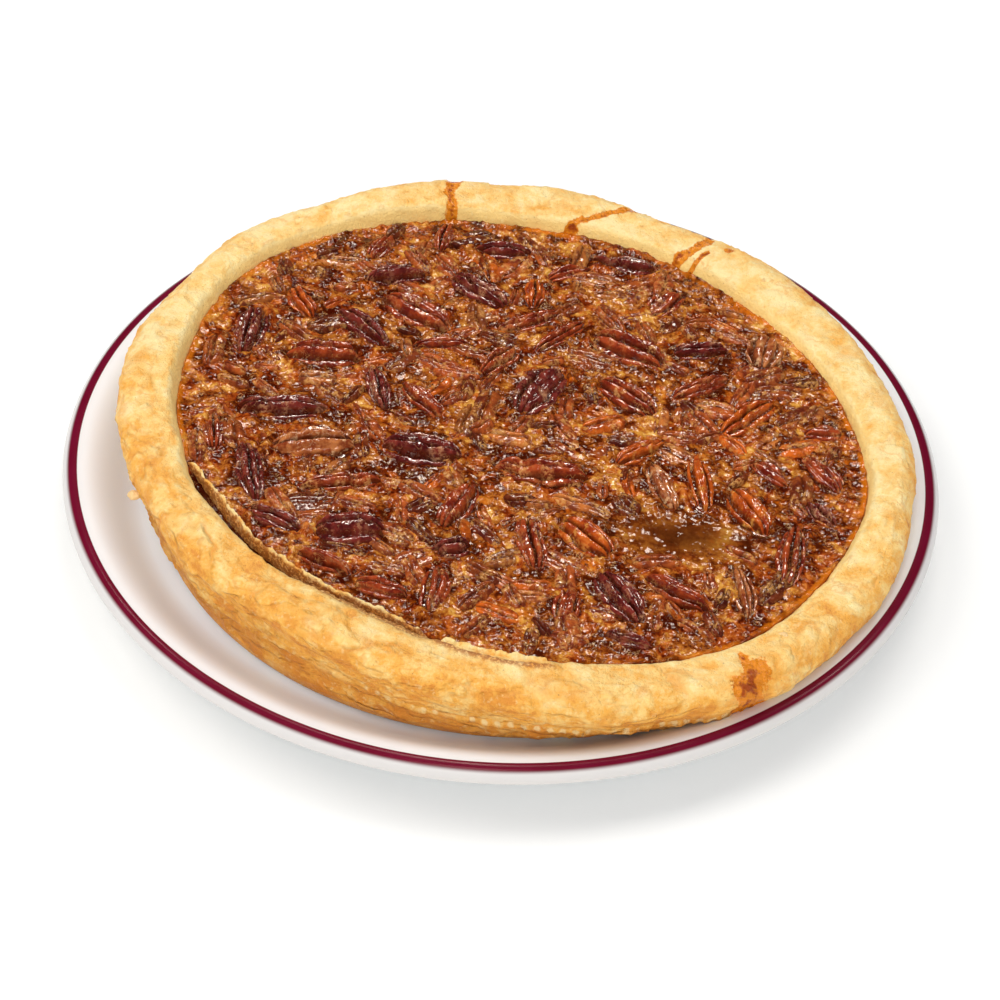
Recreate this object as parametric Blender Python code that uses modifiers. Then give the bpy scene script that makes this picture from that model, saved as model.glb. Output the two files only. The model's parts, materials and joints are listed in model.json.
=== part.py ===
"""Pecan pie on its dinner plate: a plate, a pastry shell, a syrup filling and the pecans set in it.

Lengths in the tables are millimetres, and MM turns them into Blender's metres. +Z is up, and the
origin is under the middle of the plate, on the surface that its foot ring stands on. Angles are
degrees, anticlockwise seen from above, and 0 is +X. The pie's own angles are about the pie's centre.
"""

import math

import bmesh
import bpy
import numpy as np
from mathutils import Matrix, Vector

MM = 0.001

# The plate
PLATE_RADIUS = 135.0
PLATE_FLOOR = 11.0
PLATE_UNDERSIDE = 5.6
FLAT_RADIUS = 111.0
LIP_RADIUS = 130.8
LIP_HEIGHT = 21.0
LIP_THICKNESS = 4.8
FOOT_RADIUS = 82.0
FOOT_WIDTH = 5.0
FOOT_DRAFT = 1.5
PLATE_STEPS = 60
FLANK_POINTS = 5

# The pie as a whole
GAP = 0.3
PIE_CENTRE = (4.7, 0.0)
PIE_FLOOR = PLATE_FLOOR + GAP
PIE_STEPS = 66

# The pastry shell: heights are above the pie's own floor
FILL_HEIGHT = 21.2
CREST_RISE = 5.4
FLOOR_THICKNESS = 4.0
WALL_CURVE_WIDTH = 9.0
WALL_CURVE_RISE = 2.0
BASE_CENTRE = (3.0, -2.6)
BASE_RADIUS = 103.5
BASE_ROUND = 4.0
RIM_RADIUS = 120.6
MOUTH_RADIUS = 103.5
MOUTH_LIP = 0.4
CREST_INSET = 5.0
SHOULDER_DROP = 7.0
BELLY = 2.0
BELLY_HEIGHT = 6.5

# The filling climbs a little at the shell's wall
EDGE_CLIMB = 0.4
EDGE_CLIMB_WIDTH = 2.0

# Where the rim swells out or rises: its bearing, how far the swelling reaches to each side, how much
RIM_BULGES = [
    (-57, 48, 5.2), (-26, 18, 1.4), (-78, 16, 1.2), (184, 26, 1.8), (140, 16, 1.8), (96, 26, 1.4), (43, 12, 1.2),
]
CREST_RISES = [(96, 34, 1.3), (-58, 52, -2.4), (182, 26, 0.6)]

# The shell is a little oval, and it stands higher on one side
OVAL_ANGLE = 142.0
RIM_OVAL = 1.5
MOUTH_OVAL = 4.7
LEAN_ANGLE = 197.0
LEAN_DEGREES = 3.0

# A flake of pastry that has parted from the rim, with a crack behind it
FLAKE_FROM = 193.0
FLAKE_TO = 264.0
FLAKE_FADE = 14.0
FLAKE_THICKNESS = 1.5
FLAKE_RISE = 2.4
CRACK_WIDTH = 4.6
CRACK_DEPTH = 3.6
FLAKE_LEAN_IN = 2.5

# The pecan halves
PECAN_DEPTH = 4.2
PECAN_RISE = 1.2
PECAN_RISE_PER_WIDTH = 0.2
PECAN_STATIONS = 4
PECAN_BLUNTNESS = 0.5
PECAN_RIM_DEPTH = 0.8
PECAN_DISCS = 5
POCKET_MARGIN = 0.5

# How the pecans make room for one another: they are eased apart, and in from the shell's wall
PECAN_CLEARANCE = 0.8
WALL_CLEARANCE = 2.2
EASE_ROUNDS = 150
EASE_STEP = 0.4

COLOURS = {
    "plate_glaze": ((0.86, 0.85, 0.83), 0.15),
    "pastry": ((0.78, 0.50, 0.20), 0.65),
    "syrup": ((0.22, 0.075, 0.018), 0.2),
    "pecan_red": ((0.27, 0.055, 0.02), 0.3),
    "pecan_dark": ((0.10, 0.025, 0.02), 0.25),
    "pecan_amber": ((0.50, 0.13, 0.012), 0.25),
    "pecan_tan": ((0.36, 0.16, 0.06), 0.4),
}

# Each pecan: place (x, y) from the pie's centre, turn of its length, length, width, colour
PECANS = [
    (-28, 91, 82, 16, 8, "red"),
    (-48, 82, 62, 15, 9, "red"),
    (-8, 86, 2, 20, 9, "dark"),
    (-41, 66, 22, 22, 11, "dark"),
    (-15, 64, -38, 24, 13, "dark"),
    (-35, 51, -32, 29, 15, "red"),
    (-51, 40, -44, 25, 11, "dark"),
    (-71, 49, -60, 17, 9, "amber"),
    (-86, 33, 82, 25, 12, "dark"),
    (-62, 24, 3, 26, 14, "red"),
    (-44, 10, -74, 22, 9, "dark"),
    (-30, 7, -48, 21, 9, "red"),
    (-26, 35, 12, 20, 7, "red"),
    (-8, 29, 55, 19, 11, "red"),
    (1, 51, 32, 25, 9, "red"),
    (12, 44, 50, 27, 8, "red"),
    (33, 41, -30, 29, 15, "red"),
    (31, 86, -10, 23, 11, "dark"),
    (45, 66, 50, 18, 11, "red"),
    (4, 66, 88, 15, 9, "amber"),
    (15, 79, 30, 18, 8, "red"),
    (77, 45, 78, 18, 14, "tan"),
    (56, 43, 12, 20, 10, "dark"),
    (56, 25, 35, 24, 9, "red"),
    (33, 17, -42, 25, 13, "red"),
    (6, 16, 62, 28, 15, "dark"),
    (70, 12, 48, 27, 12, "amber"),
    (94, 8, 10, 14, 9, "red"),
    (-72, -3, 4, 30, 13, "dark"),
    (-62, -19, 10, 27, 14, "tan"),
    (-29, -17, -4, 27, 16, "dark"),
    (7, -22, -4, 31, 14, "red"),
    (-48, -56, 4, 22, 16, "dark"),
    (-80, -34, -76, 29, 10, "dark"),
    (-91, -17, -80, 18, 8, "red"),
    (-52, -35, 14, 27, 9, "red"),
    (-72, -55, -25, 19, 9, "dark"),
    (-57, -75, -25, 20, 8, "red"),
    (-17, -41, 68, 23, 11, "red"),
    (-18, -60, 15, 13, 11, "dark"),
    (-22, -78, 84, 21, 10, "red"),
    (-40, -82, -12, 18, 9, "red"),
    (5, -54, -81, 26, 10, "red"),
    (21, -50, -40, 21, 15, "amber"),
    (37, -9, 38, 20, 9, "amber"),
    (56, -20, -84, 29, 9, "amber"),
    (44, -24, -70, 22, 10, "tan"),
    (71, -33, -65, 23, 13, "amber"),
    (77, -14, -40, 15, 9, "red"),
    (93, -11, -58, 21, 10, "red"),
    (92, -30, -50, 14, 9, "dark"),
    (85, -54, 80, 30, 10, "red"),
    (68, -68, -82, 24, 8, "tan"),
    (48, -70, -30, 24, 10, "red"),
    (31, -75, -62, 26, 13, "dark"),
    (16, -80, 75, 15, 9, "red"),
    (36, -94, -16, 16, 8, "dark"),
]


def material(name):
    colour, roughness = COLOURS[name]
    made = bpy.data.materials.new(name)
    made.use_nodes = True
    shader = made.node_tree.nodes["Principled BSDF"]
    shader.inputs["Base Color"].default_value = (*colour, 1.0)
    shader.inputs["Roughness"].default_value = roughness
    shader.inputs["Metallic"].default_value = 0.0
    return made


def cosine(degrees):
    return math.cos(math.radians(degrees))


def sine(degrees):
    return math.sin(math.radians(degrees))


def smooth_step(share):
    """0 up to share 0, 1 from share 1 on, and an even S between them."""
    share = min(max(share, 0.0), 1.0)
    return share * share * (3 - 2 * share)


def lean(x, y):
    """How far the pie's upper part is raised at a place, because the shell stands higher on one side."""
    along = x * cosine(LEAN_ANGLE) + y * sine(LEAN_ANGLE)
    return along * math.tan(math.radians(LEAN_DEGREES))


def flake(angle):
    """1 along the parted flake, 0 away from it, with a smooth end at each side."""
    angle %= 360
    return smooth_step((angle - FLAKE_FROM) / FLAKE_FADE) * smooth_step((FLAKE_TO - angle) / FLAKE_FADE)


def mouth_radius(angle):
    """Radius of the shell's mouth at the level of the filling."""
    wave = 0.7 * cosine(5 * angle + 40) + 0.5 * cosine(9 * angle + 110)
    oval = MOUTH_OVAL * cosine(2 * (angle - OVAL_ANGLE))
    return MOUTH_RADIUS + oval + wave - FLAKE_LEAN_IN * flake(angle)


def swell(angle, places):
    """Sum of rounded swellings round the pie, each given as its bearing, its reach to a side, its amount."""
    total = 0.0
    for bearing, reach, amount in places:
        away = abs((angle - bearing + 180) % 360 - 180)
        total += amount * smooth_step(1 - away / reach)
    return total


def rim_radius(angle):
    """Radius of the rim's widest part, with the shallow waves of hand-folded pastry."""
    wave = 0.5 * cosine(8 * angle + 70) + 0.4 * cosine(13 * angle)
    return RIM_RADIUS + RIM_OVAL * cosine(2 * (angle - OVAL_ANGLE)) + wave + swell(angle, RIM_BULGES)


def base_radius(angle):
    """Radius of the shell's base, which is not quite under the middle of the pie."""
    aside = (PIE_CENTRE[0] - BASE_CENTRE[0], PIE_CENTRE[1] - BASE_CENTRE[1])
    offset = math.hypot(*aside)
    bearing = angle - math.degrees(math.atan2(aside[1], aside[0]))
    return math.sqrt(BASE_RADIUS**2 - (offset * sine(bearing)) ** 2) - offset * cosine(bearing)


def crest_rise(angle):
    """Height of the rim's top over the filling, with small rises and hollows."""
    wave = 0.6 * cosine(6 * angle + 30) + 0.4 * cosine(11 * angle + 200)
    return CREST_RISE + wave + swell(angle, CREST_RISES)


def placed(radius, angle, height):
    """A point of the pie from its polar place and its height above the pie's floor, leaning as it rises."""
    x = radius * cosine(angle)
    y = radius * sine(angle)
    share = min(max(height / FILL_HEIGHT, 0.0), 1.0)
    raised = height + share * lean(x, y)
    return Vector((x + PIE_CENTRE[0], y + PIE_CENTRE[1], PIE_FLOOR + raised)) * MM


def add_object(name, mesh, collection, slot=None):
    made = bpy.data.objects.new(name, mesh)
    collection.objects.link(made)
    if slot:
        mesh.materials.append(slot)
    return made


def shade(mesh, sharp_degrees=40.0):
    mesh.shade_smooth()
    mesh.set_sharp_from_angle(angle=math.radians(sharp_degrees))


def loft(name, rings, start, end):
    """A closed mesh through rings of equally many points, closed by a fan to the points start and end."""
    work = bmesh.new()
    rows = [[work.verts.new(point) for point in ring] for ring in rings]
    count = len(rings[0])
    for row, after in zip(rows, rows[1:]):
        for i in range(count):
            j = (i + 1) % count
            work.faces.new((row[i], row[j], after[j], after[i]))
    for row, tip in ((rows[0], start), (rows[-1], end)):
        centre = work.verts.new(tip)
        for i in range(count):
            work.faces.new((centre, row[i], row[(i + 1) % count]))
    bmesh.ops.recalc_face_normals(work, faces=work.faces)
    bmesh.ops.triangulate(work, faces=work.faces)
    mesh = bpy.data.meshes.new(name)
    work.to_mesh(mesh)
    work.free()
    return mesh


def plate_profile():
    """The plate's section as (radius, height), from the middle of its top out over the lip to its foot: a flat
    well, a flank that rises in an even S, a lip that rolls over and down, and a foot ring."""
    flank = []
    for i in range(FLANK_POINTS + 1):
        share = i / FLANK_POINTS
        radius = FLAT_RADIUS + share * (LIP_RADIUS - FLAT_RADIUS)
        flank.append((radius, PLATE_FLOOR + (LIP_HEIGHT - PLATE_FLOOR) * smooth_step(share)))
    roll = PLATE_RADIUS - LIP_RADIUS
    lip = [
        (PLATE_RADIUS - 0.36 * roll, LIP_HEIGHT - 0.16 * LIP_THICKNESS),
        (PLATE_RADIUS, LIP_HEIGHT - 0.5 * LIP_THICKNESS),
        (PLATE_RADIUS - 0.1 * roll, LIP_HEIGHT - 0.85 * LIP_THICKNESS),
        (PLATE_RADIUS - 0.7 * roll, LIP_HEIGHT - 1.2 * LIP_THICKNESS),
    ]
    foot = [
        (FLAT_RADIUS + 0.5 * roll, PLATE_UNDERSIDE + 0.4 * LIP_THICKNESS),
        (FOOT_RADIUS + FOOT_DRAFT, PLATE_UNDERSIDE),
        (FOOT_RADIUS, 0.0),
        (FOOT_RADIUS - FOOT_WIDTH, 0.0),
        (FOOT_RADIUS - FOOT_WIDTH - FOOT_DRAFT, PLATE_UNDERSIDE),
    ]
    return [(0.0, PLATE_FLOOR), *flank, *lip, *foot, (0.0, PLATE_UNDERSIDE)]


def make_plate(collection):
    """A turned plate: its section swept round the Z axis."""
    section = plate_profile()
    mesh = bpy.data.meshes.new("plate")
    points = [(radius * MM, 0.0, height * MM) for radius, height in section]
    mesh.from_pydata(points, [(i, i + 1) for i in range(len(points) - 1)], [])
    plate = add_object("plate", mesh, collection, material("plate_glaze"))
    turn = plate.modifiers.new("turn", "SCREW")
    turn.axis = "Z"
    turn.steps = PLATE_STEPS
    turn.render_steps = PLATE_STEPS
    turn.use_merge_vertices = True
    turn.merge_threshold = 0.0001
    turn.use_smooth_shade = True
    return plate


def inner_wall(mouth):
    """The shell's inside below the filling, as (radius, height): the curve out of its floor, its wall."""
    return [
        (mouth - WALL_CURVE_WIDTH, FLOOR_THICKNESS),
        (mouth - 0.5 * WALL_CURVE_WIDTH, FLOOR_THICKNESS + WALL_CURVE_RISE),
        (mouth, FILL_HEIGHT - 2.0),
    ]


def crust_section(angle):
    """The shell's section at an angle, as (radius, height above the pie's floor): from its inner floor up the
    inner wall, over the flake, crack and rim, and down the bulging outer wall to its base."""
    mouth = mouth_radius(angle)
    rim = rim_radius(angle)
    base = base_radius(angle)
    part = flake(angle)
    rise = crest_rise(angle)
    crest = FILL_HEIGHT + rise
    shoulder = crest - SHOULDER_DROP
    lip = FILL_HEIGHT + 1.0 + FLAKE_RISE * part
    flake_back = mouth + MOUTH_LIP + FLAKE_THICKNESS
    back = mouth + FLAKE_THICKNESS + (CRACK_WIDTH + FLAKE_LEAN_IN) * part + 1.4
    top = [
        (mouth + MOUTH_LIP, lip),
        (flake_back, lip + 0.3 * (1 - part)),
        (flake_back + 0.5 + part, lip + 1.0 - (CRACK_DEPTH + FLAKE_RISE) * part),
        (back, lip + 0.35 * rise - 0.3 * FLAKE_RISE * part),
        (0.4 * rim + 0.6 * back, crest - 0.1 * CREST_INSET),
        (rim - CREST_INSET, crest),
        (rim - 0.28 * CREST_INSET, crest - 0.4 * SHOULDER_DROP),
    ]
    outside = [
        (rim, shoulder),
        (rim - 1.2, shoulder - 0.8 * SHOULDER_DROP),
        (0.5 * (rim + base) + BELLY, BELLY_HEIGHT),
        (base + BASE_ROUND, 0.5 * BASE_ROUND),
        (base, 0.0),
    ]
    return inner_wall(mouth) + top + outside


def pie_rings(section):
    """The points of a section at every step round the pie, ring by ring."""
    angles = [360.0 * i / PIE_STEPS for i in range(PIE_STEPS)]
    spokes = [
        [placed(radius, angle, height) for radius, height in section(angle)]
        for angle in angles
    ]
    return list(zip(*spokes))


def make_crust(collection):
    rings = pie_rings(crust_section)
    mesh = loft("crust", rings, placed(0, 0, FLOOR_THICKNESS), placed(0, 0, 0.0))
    shade(mesh)
    return add_object("crust", mesh, collection, material("pastry"))


def filling_section(angle):
    """The filling's section: its level top, then down inside the shell's wall."""
    mouth = mouth_radius(angle) - GAP
    below = [(radius, min(height + GAP, FILL_HEIGHT - 2.0)) for radius, height in inner_wall(mouth)]
    return [
        (0.5 * mouth, FILL_HEIGHT),
        (mouth - EDGE_CLIMB_WIDTH, FILL_HEIGHT),
        (mouth, FILL_HEIGHT + EDGE_CLIMB),
        *reversed(below),
    ]


def pecan_frame(x, y, turn):
    """The place of a pecan: X along its length, Z out of the leaning surface, at the surface's level."""
    slope_x = lean(1, 0)
    slope_y = lean(0, 1)
    up = Vector((-slope_x, -slope_y, 1.0)).normalized()
    along = Vector((cosine(turn), sine(turn), 0.0))
    along = (along - up * along.dot(up)).normalized()
    across = up.cross(along)
    frame = Matrix((along, across, up)).transposed().to_4x4()
    frame.translation = placed(math.hypot(x, y), math.degrees(math.atan2(y, x)), FILL_HEIGHT)
    return frame


def pecan_outline(length, width):
    """Half widths of a pecan along its length, as (x, half width), with stations closer towards its ends."""
    turns = [180.0 * (i + 0.75) / (PECAN_STATIONS + 0.5) for i in range(PECAN_STATIONS)]
    shares = [0.5 - 0.5 * cosine(turn) for turn in turns]
    return [
        ((share - 0.5) * length, 0.5 * width * sine(180.0 * share) ** PECAN_BLUNTNESS)
        for share in shares
    ]


def pecan_rise(width):
    """How far a pecan stands out of the filling: a broad one is thicker."""
    return PECAN_RISE + PECAN_RISE_PER_WIDTH * width


def pecan_mesh(name, length, width):
    """Half a pecan, flat side down: ovals across its length, each with a ridge either side of a groove."""
    rise = pecan_rise(width)
    rings = []
    for x, half in pecan_outline(length, width):
        bulge = 2.0 * half / width
        right = [(0.6 * half, -PECAN_DEPTH * bulge), (half, -PECAN_RIM_DEPTH), (0.55 * half, rise * bulge)]
        left = [(-y, z) for y, z in reversed(right)]
        section = [*right, (0.0, 0.5 * rise * bulge), *left]
        rings.append([Vector((x, y, z)) * MM for y, z in section])
    tips = [Vector((end * 0.5 * length, 0.0, -0.4 * PECAN_RIM_DEPTH)) * MM for end in (-1, 1)]
    mesh = loft(name, rings, *tips)
    shade(mesh, 60.0)
    return mesh


def add_pocket_cutter(name, length, width, frame, cutters):
    """A post of the pecan's outline, a margin larger all round, from just under it to clear above it."""
    longer = 1.0 + 2.0 * POCKET_MARGIN / length
    wider = 1.0 + 2.0 * POCKET_MARGIN / width
    side = [(x * longer, half * wider) for x, half in pecan_outline(length, width)]
    tip = 0.5 * length * longer
    outline = [(-tip, 0.0), *[(x, -half) for x, half in side], (tip, 0.0), *reversed(side)]
    low = -PECAN_DEPTH - GAP
    high = pecan_rise(width) + GAP
    rings = [[Vector((x, y, z)) * MM for x, y in outline] for z in (low, high)]
    mesh = loft(name, rings, Vector((0.0, 0.0, low)) * MM, Vector((0.0, 0.0, high)) * MM)
    cutter = add_object(name, mesh, cutters)
    cutter.matrix_world = frame
    cutter.hide_render = True
    cutter.display_type = "WIRE"


def pecan_discs():
    """Each pecan as a row of discs along its length: their offsets from its middle, and its discs' radius."""
    steps = np.linspace(-1.0, 1.0, PECAN_DISCS)
    offsets = []
    radii = []
    for _, _, turn, length, width, _ in PECANS:
        reach = 0.5 * (length - width)
        offsets.append([(reach * step * cosine(turn), reach * step * sine(turn)) for step in steps])
        radii.append(0.5 * width)
    return np.array(offsets), np.array(radii)


def eased_places():
    """Where the pecans lie once those that would touch are eased apart, and in from the shell's wall."""
    places = np.array([(x, y) for x, y, *_ in PECANS], dtype=float)
    offsets, radii = pecan_discs()
    room = radii[:, None] + radii[None, :] + PECAN_CLEARANCE
    count = len(places)
    for _ in range(EASE_ROUNDS):
        discs = places[:, None] + offsets
        apart = discs[:, None, :, None] - discs[None, :, None, :]
        distance = np.linalg.norm(apart, axis=-1).reshape(count, count, -1)
        nearest = distance.argmin(axis=-1)
        rows, columns = np.indices((count, count))
        short = np.maximum(room - distance[rows, columns, nearest], 0.0)
        np.fill_diagonal(short, 0.0)
        way = apart.reshape(count, count, -1, 2)[rows, columns, nearest]
        way /= np.maximum(np.linalg.norm(way, axis=-1, keepdims=True), 1e-6)
        places += EASE_STEP * (way * short[..., None]).sum(axis=1)
        places += EASE_STEP * wall_push(places[:, None] + offsets, radii)
    return places


def wall_push(discs, radii):
    """How far each pecan must move inwards to leave the wall clear, from its disc nearest the wall."""
    reach = np.linalg.norm(discs, axis=-1)
    turns = np.degrees(np.arctan2(discs[..., 1], discs[..., 0]))
    walls = np.array([[mouth_radius(turn) for turn in row] for row in turns]) - WALL_CLEARANCE
    over = np.maximum(reach + radii[:, None] - walls, 0.0)
    worst = over.argmax(axis=1)
    index = np.arange(len(discs))
    inwards = -discs[index, worst] / reach[index, worst][:, None]
    return inwards * over[index, worst][:, None]


def make_pecans(collection, cutters):
    """Every pecan half, and the cutter of its pocket in the filling."""
    slots = {colour: material("pecan_" + colour) for colour in ("red", "dark", "amber", "tan")}
    for number, ((x, y), pecan) in enumerate(zip(eased_places(), PECANS), 1):
        _, _, turn, length, width, colour = pecan
        frame = pecan_frame(x, y, turn)
        name = f"pecan_{number:02d}"
        half = add_object(name, pecan_mesh(name, length, width), collection, slots[colour])
        half.matrix_world = frame
        add_pocket_cutter(name + "_pocket", length, width, frame, cutters)


def make_filling(collection, cutters):
    rings = pie_rings(filling_section)
    top = placed(0, 0, FILL_HEIGHT)
    mesh = loft("filling", rings, top, placed(0, 0, FLOOR_THICKNESS + GAP))
    shade(mesh)
    filling = add_object("filling", mesh, collection, material("syrup"))
    pockets = filling.modifiers.new("pockets", "BOOLEAN")
    pockets.operation = "DIFFERENCE"
    pockets.operand_type = "COLLECTION"
    pockets.collection = cutters
    pockets.solver = "EXACT"
    return filling


def clear_scene():
    for old in list(bpy.data.objects):
        bpy.data.objects.remove(old)


def new_collection(name):
    made = bpy.data.collections.new(name)
    bpy.context.scene.collection.children.link(made)
    return made


def main():
    clear_scene()
    pie = new_collection("pecan_pie")
    cutters = new_collection("pocket_cutters")
    cutters.hide_render = True
    make_plate(pie)
    make_crust(pie)
    make_pecans(pie, cutters)
    make_filling(pie, cutters)


main()
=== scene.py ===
"""The looks of a pecan pie on its dinner plate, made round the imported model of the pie.

Lengths are millimetres, turned into Blender's metres by MM. +Z is up and the origin is under the middle of
the plate. The pie's own places are (x, y) from the pie's centre, and bearings are degrees anticlockwise from
+X. Every new surface is worked out as whole numpy arrays: a function of two parameters on a grid.
"""

import json
import math

import bpy
import numpy as np
from mathutils import Matrix, Vector


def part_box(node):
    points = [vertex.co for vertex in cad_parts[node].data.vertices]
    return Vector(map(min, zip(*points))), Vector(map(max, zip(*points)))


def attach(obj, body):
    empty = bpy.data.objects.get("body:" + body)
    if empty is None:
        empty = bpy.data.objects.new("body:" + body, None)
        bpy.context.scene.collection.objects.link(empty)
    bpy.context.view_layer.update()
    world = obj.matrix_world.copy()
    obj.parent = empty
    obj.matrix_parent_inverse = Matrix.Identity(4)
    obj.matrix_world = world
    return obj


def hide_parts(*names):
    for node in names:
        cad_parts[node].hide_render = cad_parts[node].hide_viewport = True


MM = 0.001

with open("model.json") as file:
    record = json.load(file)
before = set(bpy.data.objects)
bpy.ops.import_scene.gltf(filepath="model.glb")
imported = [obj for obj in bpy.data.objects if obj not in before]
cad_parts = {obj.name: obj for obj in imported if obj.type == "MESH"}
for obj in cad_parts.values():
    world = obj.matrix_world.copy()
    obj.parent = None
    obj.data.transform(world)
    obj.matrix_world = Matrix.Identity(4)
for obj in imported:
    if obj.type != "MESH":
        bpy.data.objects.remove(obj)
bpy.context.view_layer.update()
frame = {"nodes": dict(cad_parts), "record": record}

# The view, in degrees and millimetres
CAMERA_ELEVATION = 42.2
CAMERA_DISTANCE = 929.8
CAMERA_ROLL = 3.22
CAMERA_LENS = 106.7
CAMERA_SENSOR = 36.0
CAMERA_AIM = (0.0, 0.7, 0.0)

# The pie's centre on the plate, and the number of spokes that the shell's corners lie on
PIE_CENTRE = np.array((4.7, 0.0))
SPOKES = 66

# The pastry shell's grid: steps round the pie, and rows along its section
SHELL_STEPS = 1020
SHELL_ROWS = 96
FLOOR_THICKNESS = 4.0

# The filling's grid: corners along a side, before the square is rounded to the pie's outline
FILL_SIDE = 312

# Noise picks its random rows from tables of this length, by numbers mixed from the three places of a corner
TABLE = 4096
MIXERS = np.array((73856093, 19349663, 83492791))
SEED_MIXER = 2654435


# ---------------------------------------------------------------- numbers

def unit(value):
    """Holds a value between 0 and 1."""
    return np.clip(value, 0.0, 1.0)


def beside(*parts):
    """Arrays and numbers, spread to one shape, side by side as the last axis of one array."""
    return np.stack(np.broadcast_arrays(*parts), axis=-1)


def polar(radius, bearing):
    """x and y of places at that radius and bearing."""
    turn = np.radians(bearing)
    return radius * np.cos(turn), radius * np.sin(turn)


def smooth(value, low, high):
    """0 below low, 1 above high, and the even curve 3t^2 - 2t^3 between them."""
    share = unit((value - low) / (high - low))
    return share * share * (3.0 - 2.0 * share)


def bell(value, width):
    """A smooth bump: 1 at 0, falling as exp(-(value / width)^2)."""
    return np.exp(-((value / width) ** 2))


def facing(bearing, middle, width):
    """A bell round the pie's edge: 1 at the middle bearing, falling to both sides of it."""
    return bell((bearing - middle + 180.0) % 360.0 - 180.0, width)


def lattice_keys(corners, seed):
    """A row of the table for each lattice corner, by mixing the bits of its three places."""
    x, y, z = np.moveaxis(corners * MIXERS, -1, 0)
    mixed = x ^ y ^ z
    return (mixed ^ (mixed >> 13) ^ seed * SEED_MIXER) & (TABLE - 1)


def ripple(points, grain, seed):
    """Smooth noise from about -1 to 1: each corner of a lattice of that grain has a random slope, and the
    eight slopes round a point are blended by 6t^5 - 15t^4 + 10t^3 along each axis."""
    scaled = points / grain
    corner = np.floor(scaled).astype(np.int64)
    within = scaled - corner
    blend = within**3 * (within * (within * 6.0 - 15.0) + 10.0)
    slopes = np.random.default_rng(seed).normal(size=(TABLE, 3))
    slopes /= np.linalg.norm(slopes, axis=1, keepdims=True)
    total = np.zeros(points.shape[:-1])
    for step in np.ndindex(2, 2, 2):
        share = np.where(step, blend, 1.0 - blend).prod(axis=-1)
        slope = slopes[lattice_keys(corner + step, seed)]
        total += share * (slope * (within - step)).sum(axis=-1)
    return 1.6 * total


def cloud(points, grain, octaves, seed, gain=0.5):
    """Ripples at that grain and at halves of it, each gain times as strong as the one before."""
    total = 0.0
    for octave in range(octaves):
        total = total + gain**octave * ripple(points, grain / 2.03**octave, seed + octave)
    return total


def ridges(points, grain, octaves, seed):
    """Sharp crests where a cloud crosses 0: 1 - |cloud| at each octave."""
    total = 0.0
    for octave in range(octaves):
        total = total + 0.5**octave * (1.0 - 2.0 * np.abs(ripple(points, grain / 2.1**octave, seed + octave)))
    return total


def cells(points, grain, seed):
    """Distance to the nearest of scattered seeds, one in each lattice cube of that grain, in grains, and that
    seed's own random share from 0 to 1."""
    scaled = points / grain
    corner = np.floor(scaled).astype(np.int64)
    within = scaled - corner
    seeds = np.random.default_rng(seed).random((TABLE, 4))
    nearest = np.full(points.shape[:-1], np.inf)
    kind = np.zeros(points.shape[:-1])
    for step in np.ndindex(3, 3, 3):
        step = np.array(step) - 1
        chosen = seeds[lattice_keys(corner + step, seed)]
        away = np.linalg.norm(step + chosen[..., :3] - within, axis=-1)
        kind = np.where(away < nearest, chosen[..., 3], kind)
        nearest = np.minimum(nearest, away)
    return nearest, kind


def corner_cut(points, times):
    """Rounds an open outline, along its first axis: each side is replaced by its points at 1/4 and 3/4."""
    for _ in range(times):
        near = 0.75 * points[:-1] + 0.25 * points[1:]
        far = 0.25 * points[:-1] + 0.75 * points[1:]
        middle = np.stack([near, far], axis=1).reshape(-1, *points.shape[1:])
        points = np.concatenate([points[:1], middle, points[-1:]])
    return points


def spaced(points, places):
    """Outlines (points, steps, 2) read again at the given shares (0 to 1) of their mean length."""
    sides = np.linalg.norm(np.diff(points, axis=0), axis=-1).mean(axis=1)
    along = np.concatenate([[0.0], np.cumsum(sides)])
    along /= along[-1]
    index = np.clip(np.searchsorted(along, places, side="right") - 1, 0, len(along) - 2)
    share = ((places - along[index]) / (along[index + 1] - along[index]))[:, None, None]
    return points[index] * (1.0 - share) + points[index + 1] * share


# ---------------------------------------------------------------- meshes

def faces_of_grid(rows, columns, wrap):
    """The quads of a grid whose corner (row, column) has index row * columns + column."""
    across = columns if wrap else columns - 1
    row, column = np.mgrid[0 : rows - 1, 0:across]
    here, right = row * columns + column, row * columns + (column + 1) % columns
    return beside(here, right, right + columns, here + columns).reshape(-1, 4)


def fan(tip, ring, reverse):
    """Triangles from one corner to each side of a closed ring of corners."""
    sides = [ring, np.roll(ring, -1)]
    if reverse:
        sides.reverse()
    return np.stack([np.full(len(ring), tip), *sides], axis=1)


def build(name, points, faces, paints=None):
    """A piece from its points (millimetres), a list of arrays of faces, and its paints: name to RGBA rows."""
    mesh = bpy.data.meshes.new(name)
    points = points.reshape(-1, 3)
    mesh.vertices.add(len(points))
    mesh.vertices.foreach_set("co", (points * MM).astype(np.float32).ravel())
    corners = np.concatenate([part.ravel() for part in faces])
    sizes = np.concatenate([np.full(len(part), part.shape[1]) for part in faces])
    mesh.loops.add(len(corners))
    mesh.loops.foreach_set("vertex_index", corners.astype(np.int32))
    mesh.polygons.add(len(sizes))
    mesh.polygons.foreach_set("loop_start", (np.cumsum(sizes) - sizes).astype(np.int32))
    mesh.update(calc_edges=True)
    mesh.shade_smooth()
    for title, colours in (paints or {}).items():
        layer = mesh.attributes.new(title, "FLOAT_COLOR", "POINT")
        layer.data.foreach_set("color", colours.reshape(-1, 4).astype(np.float32).ravel())
    piece = bpy.data.objects.new(name, mesh)
    bpy.context.scene.collection.objects.link(piece)
    return piece


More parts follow.
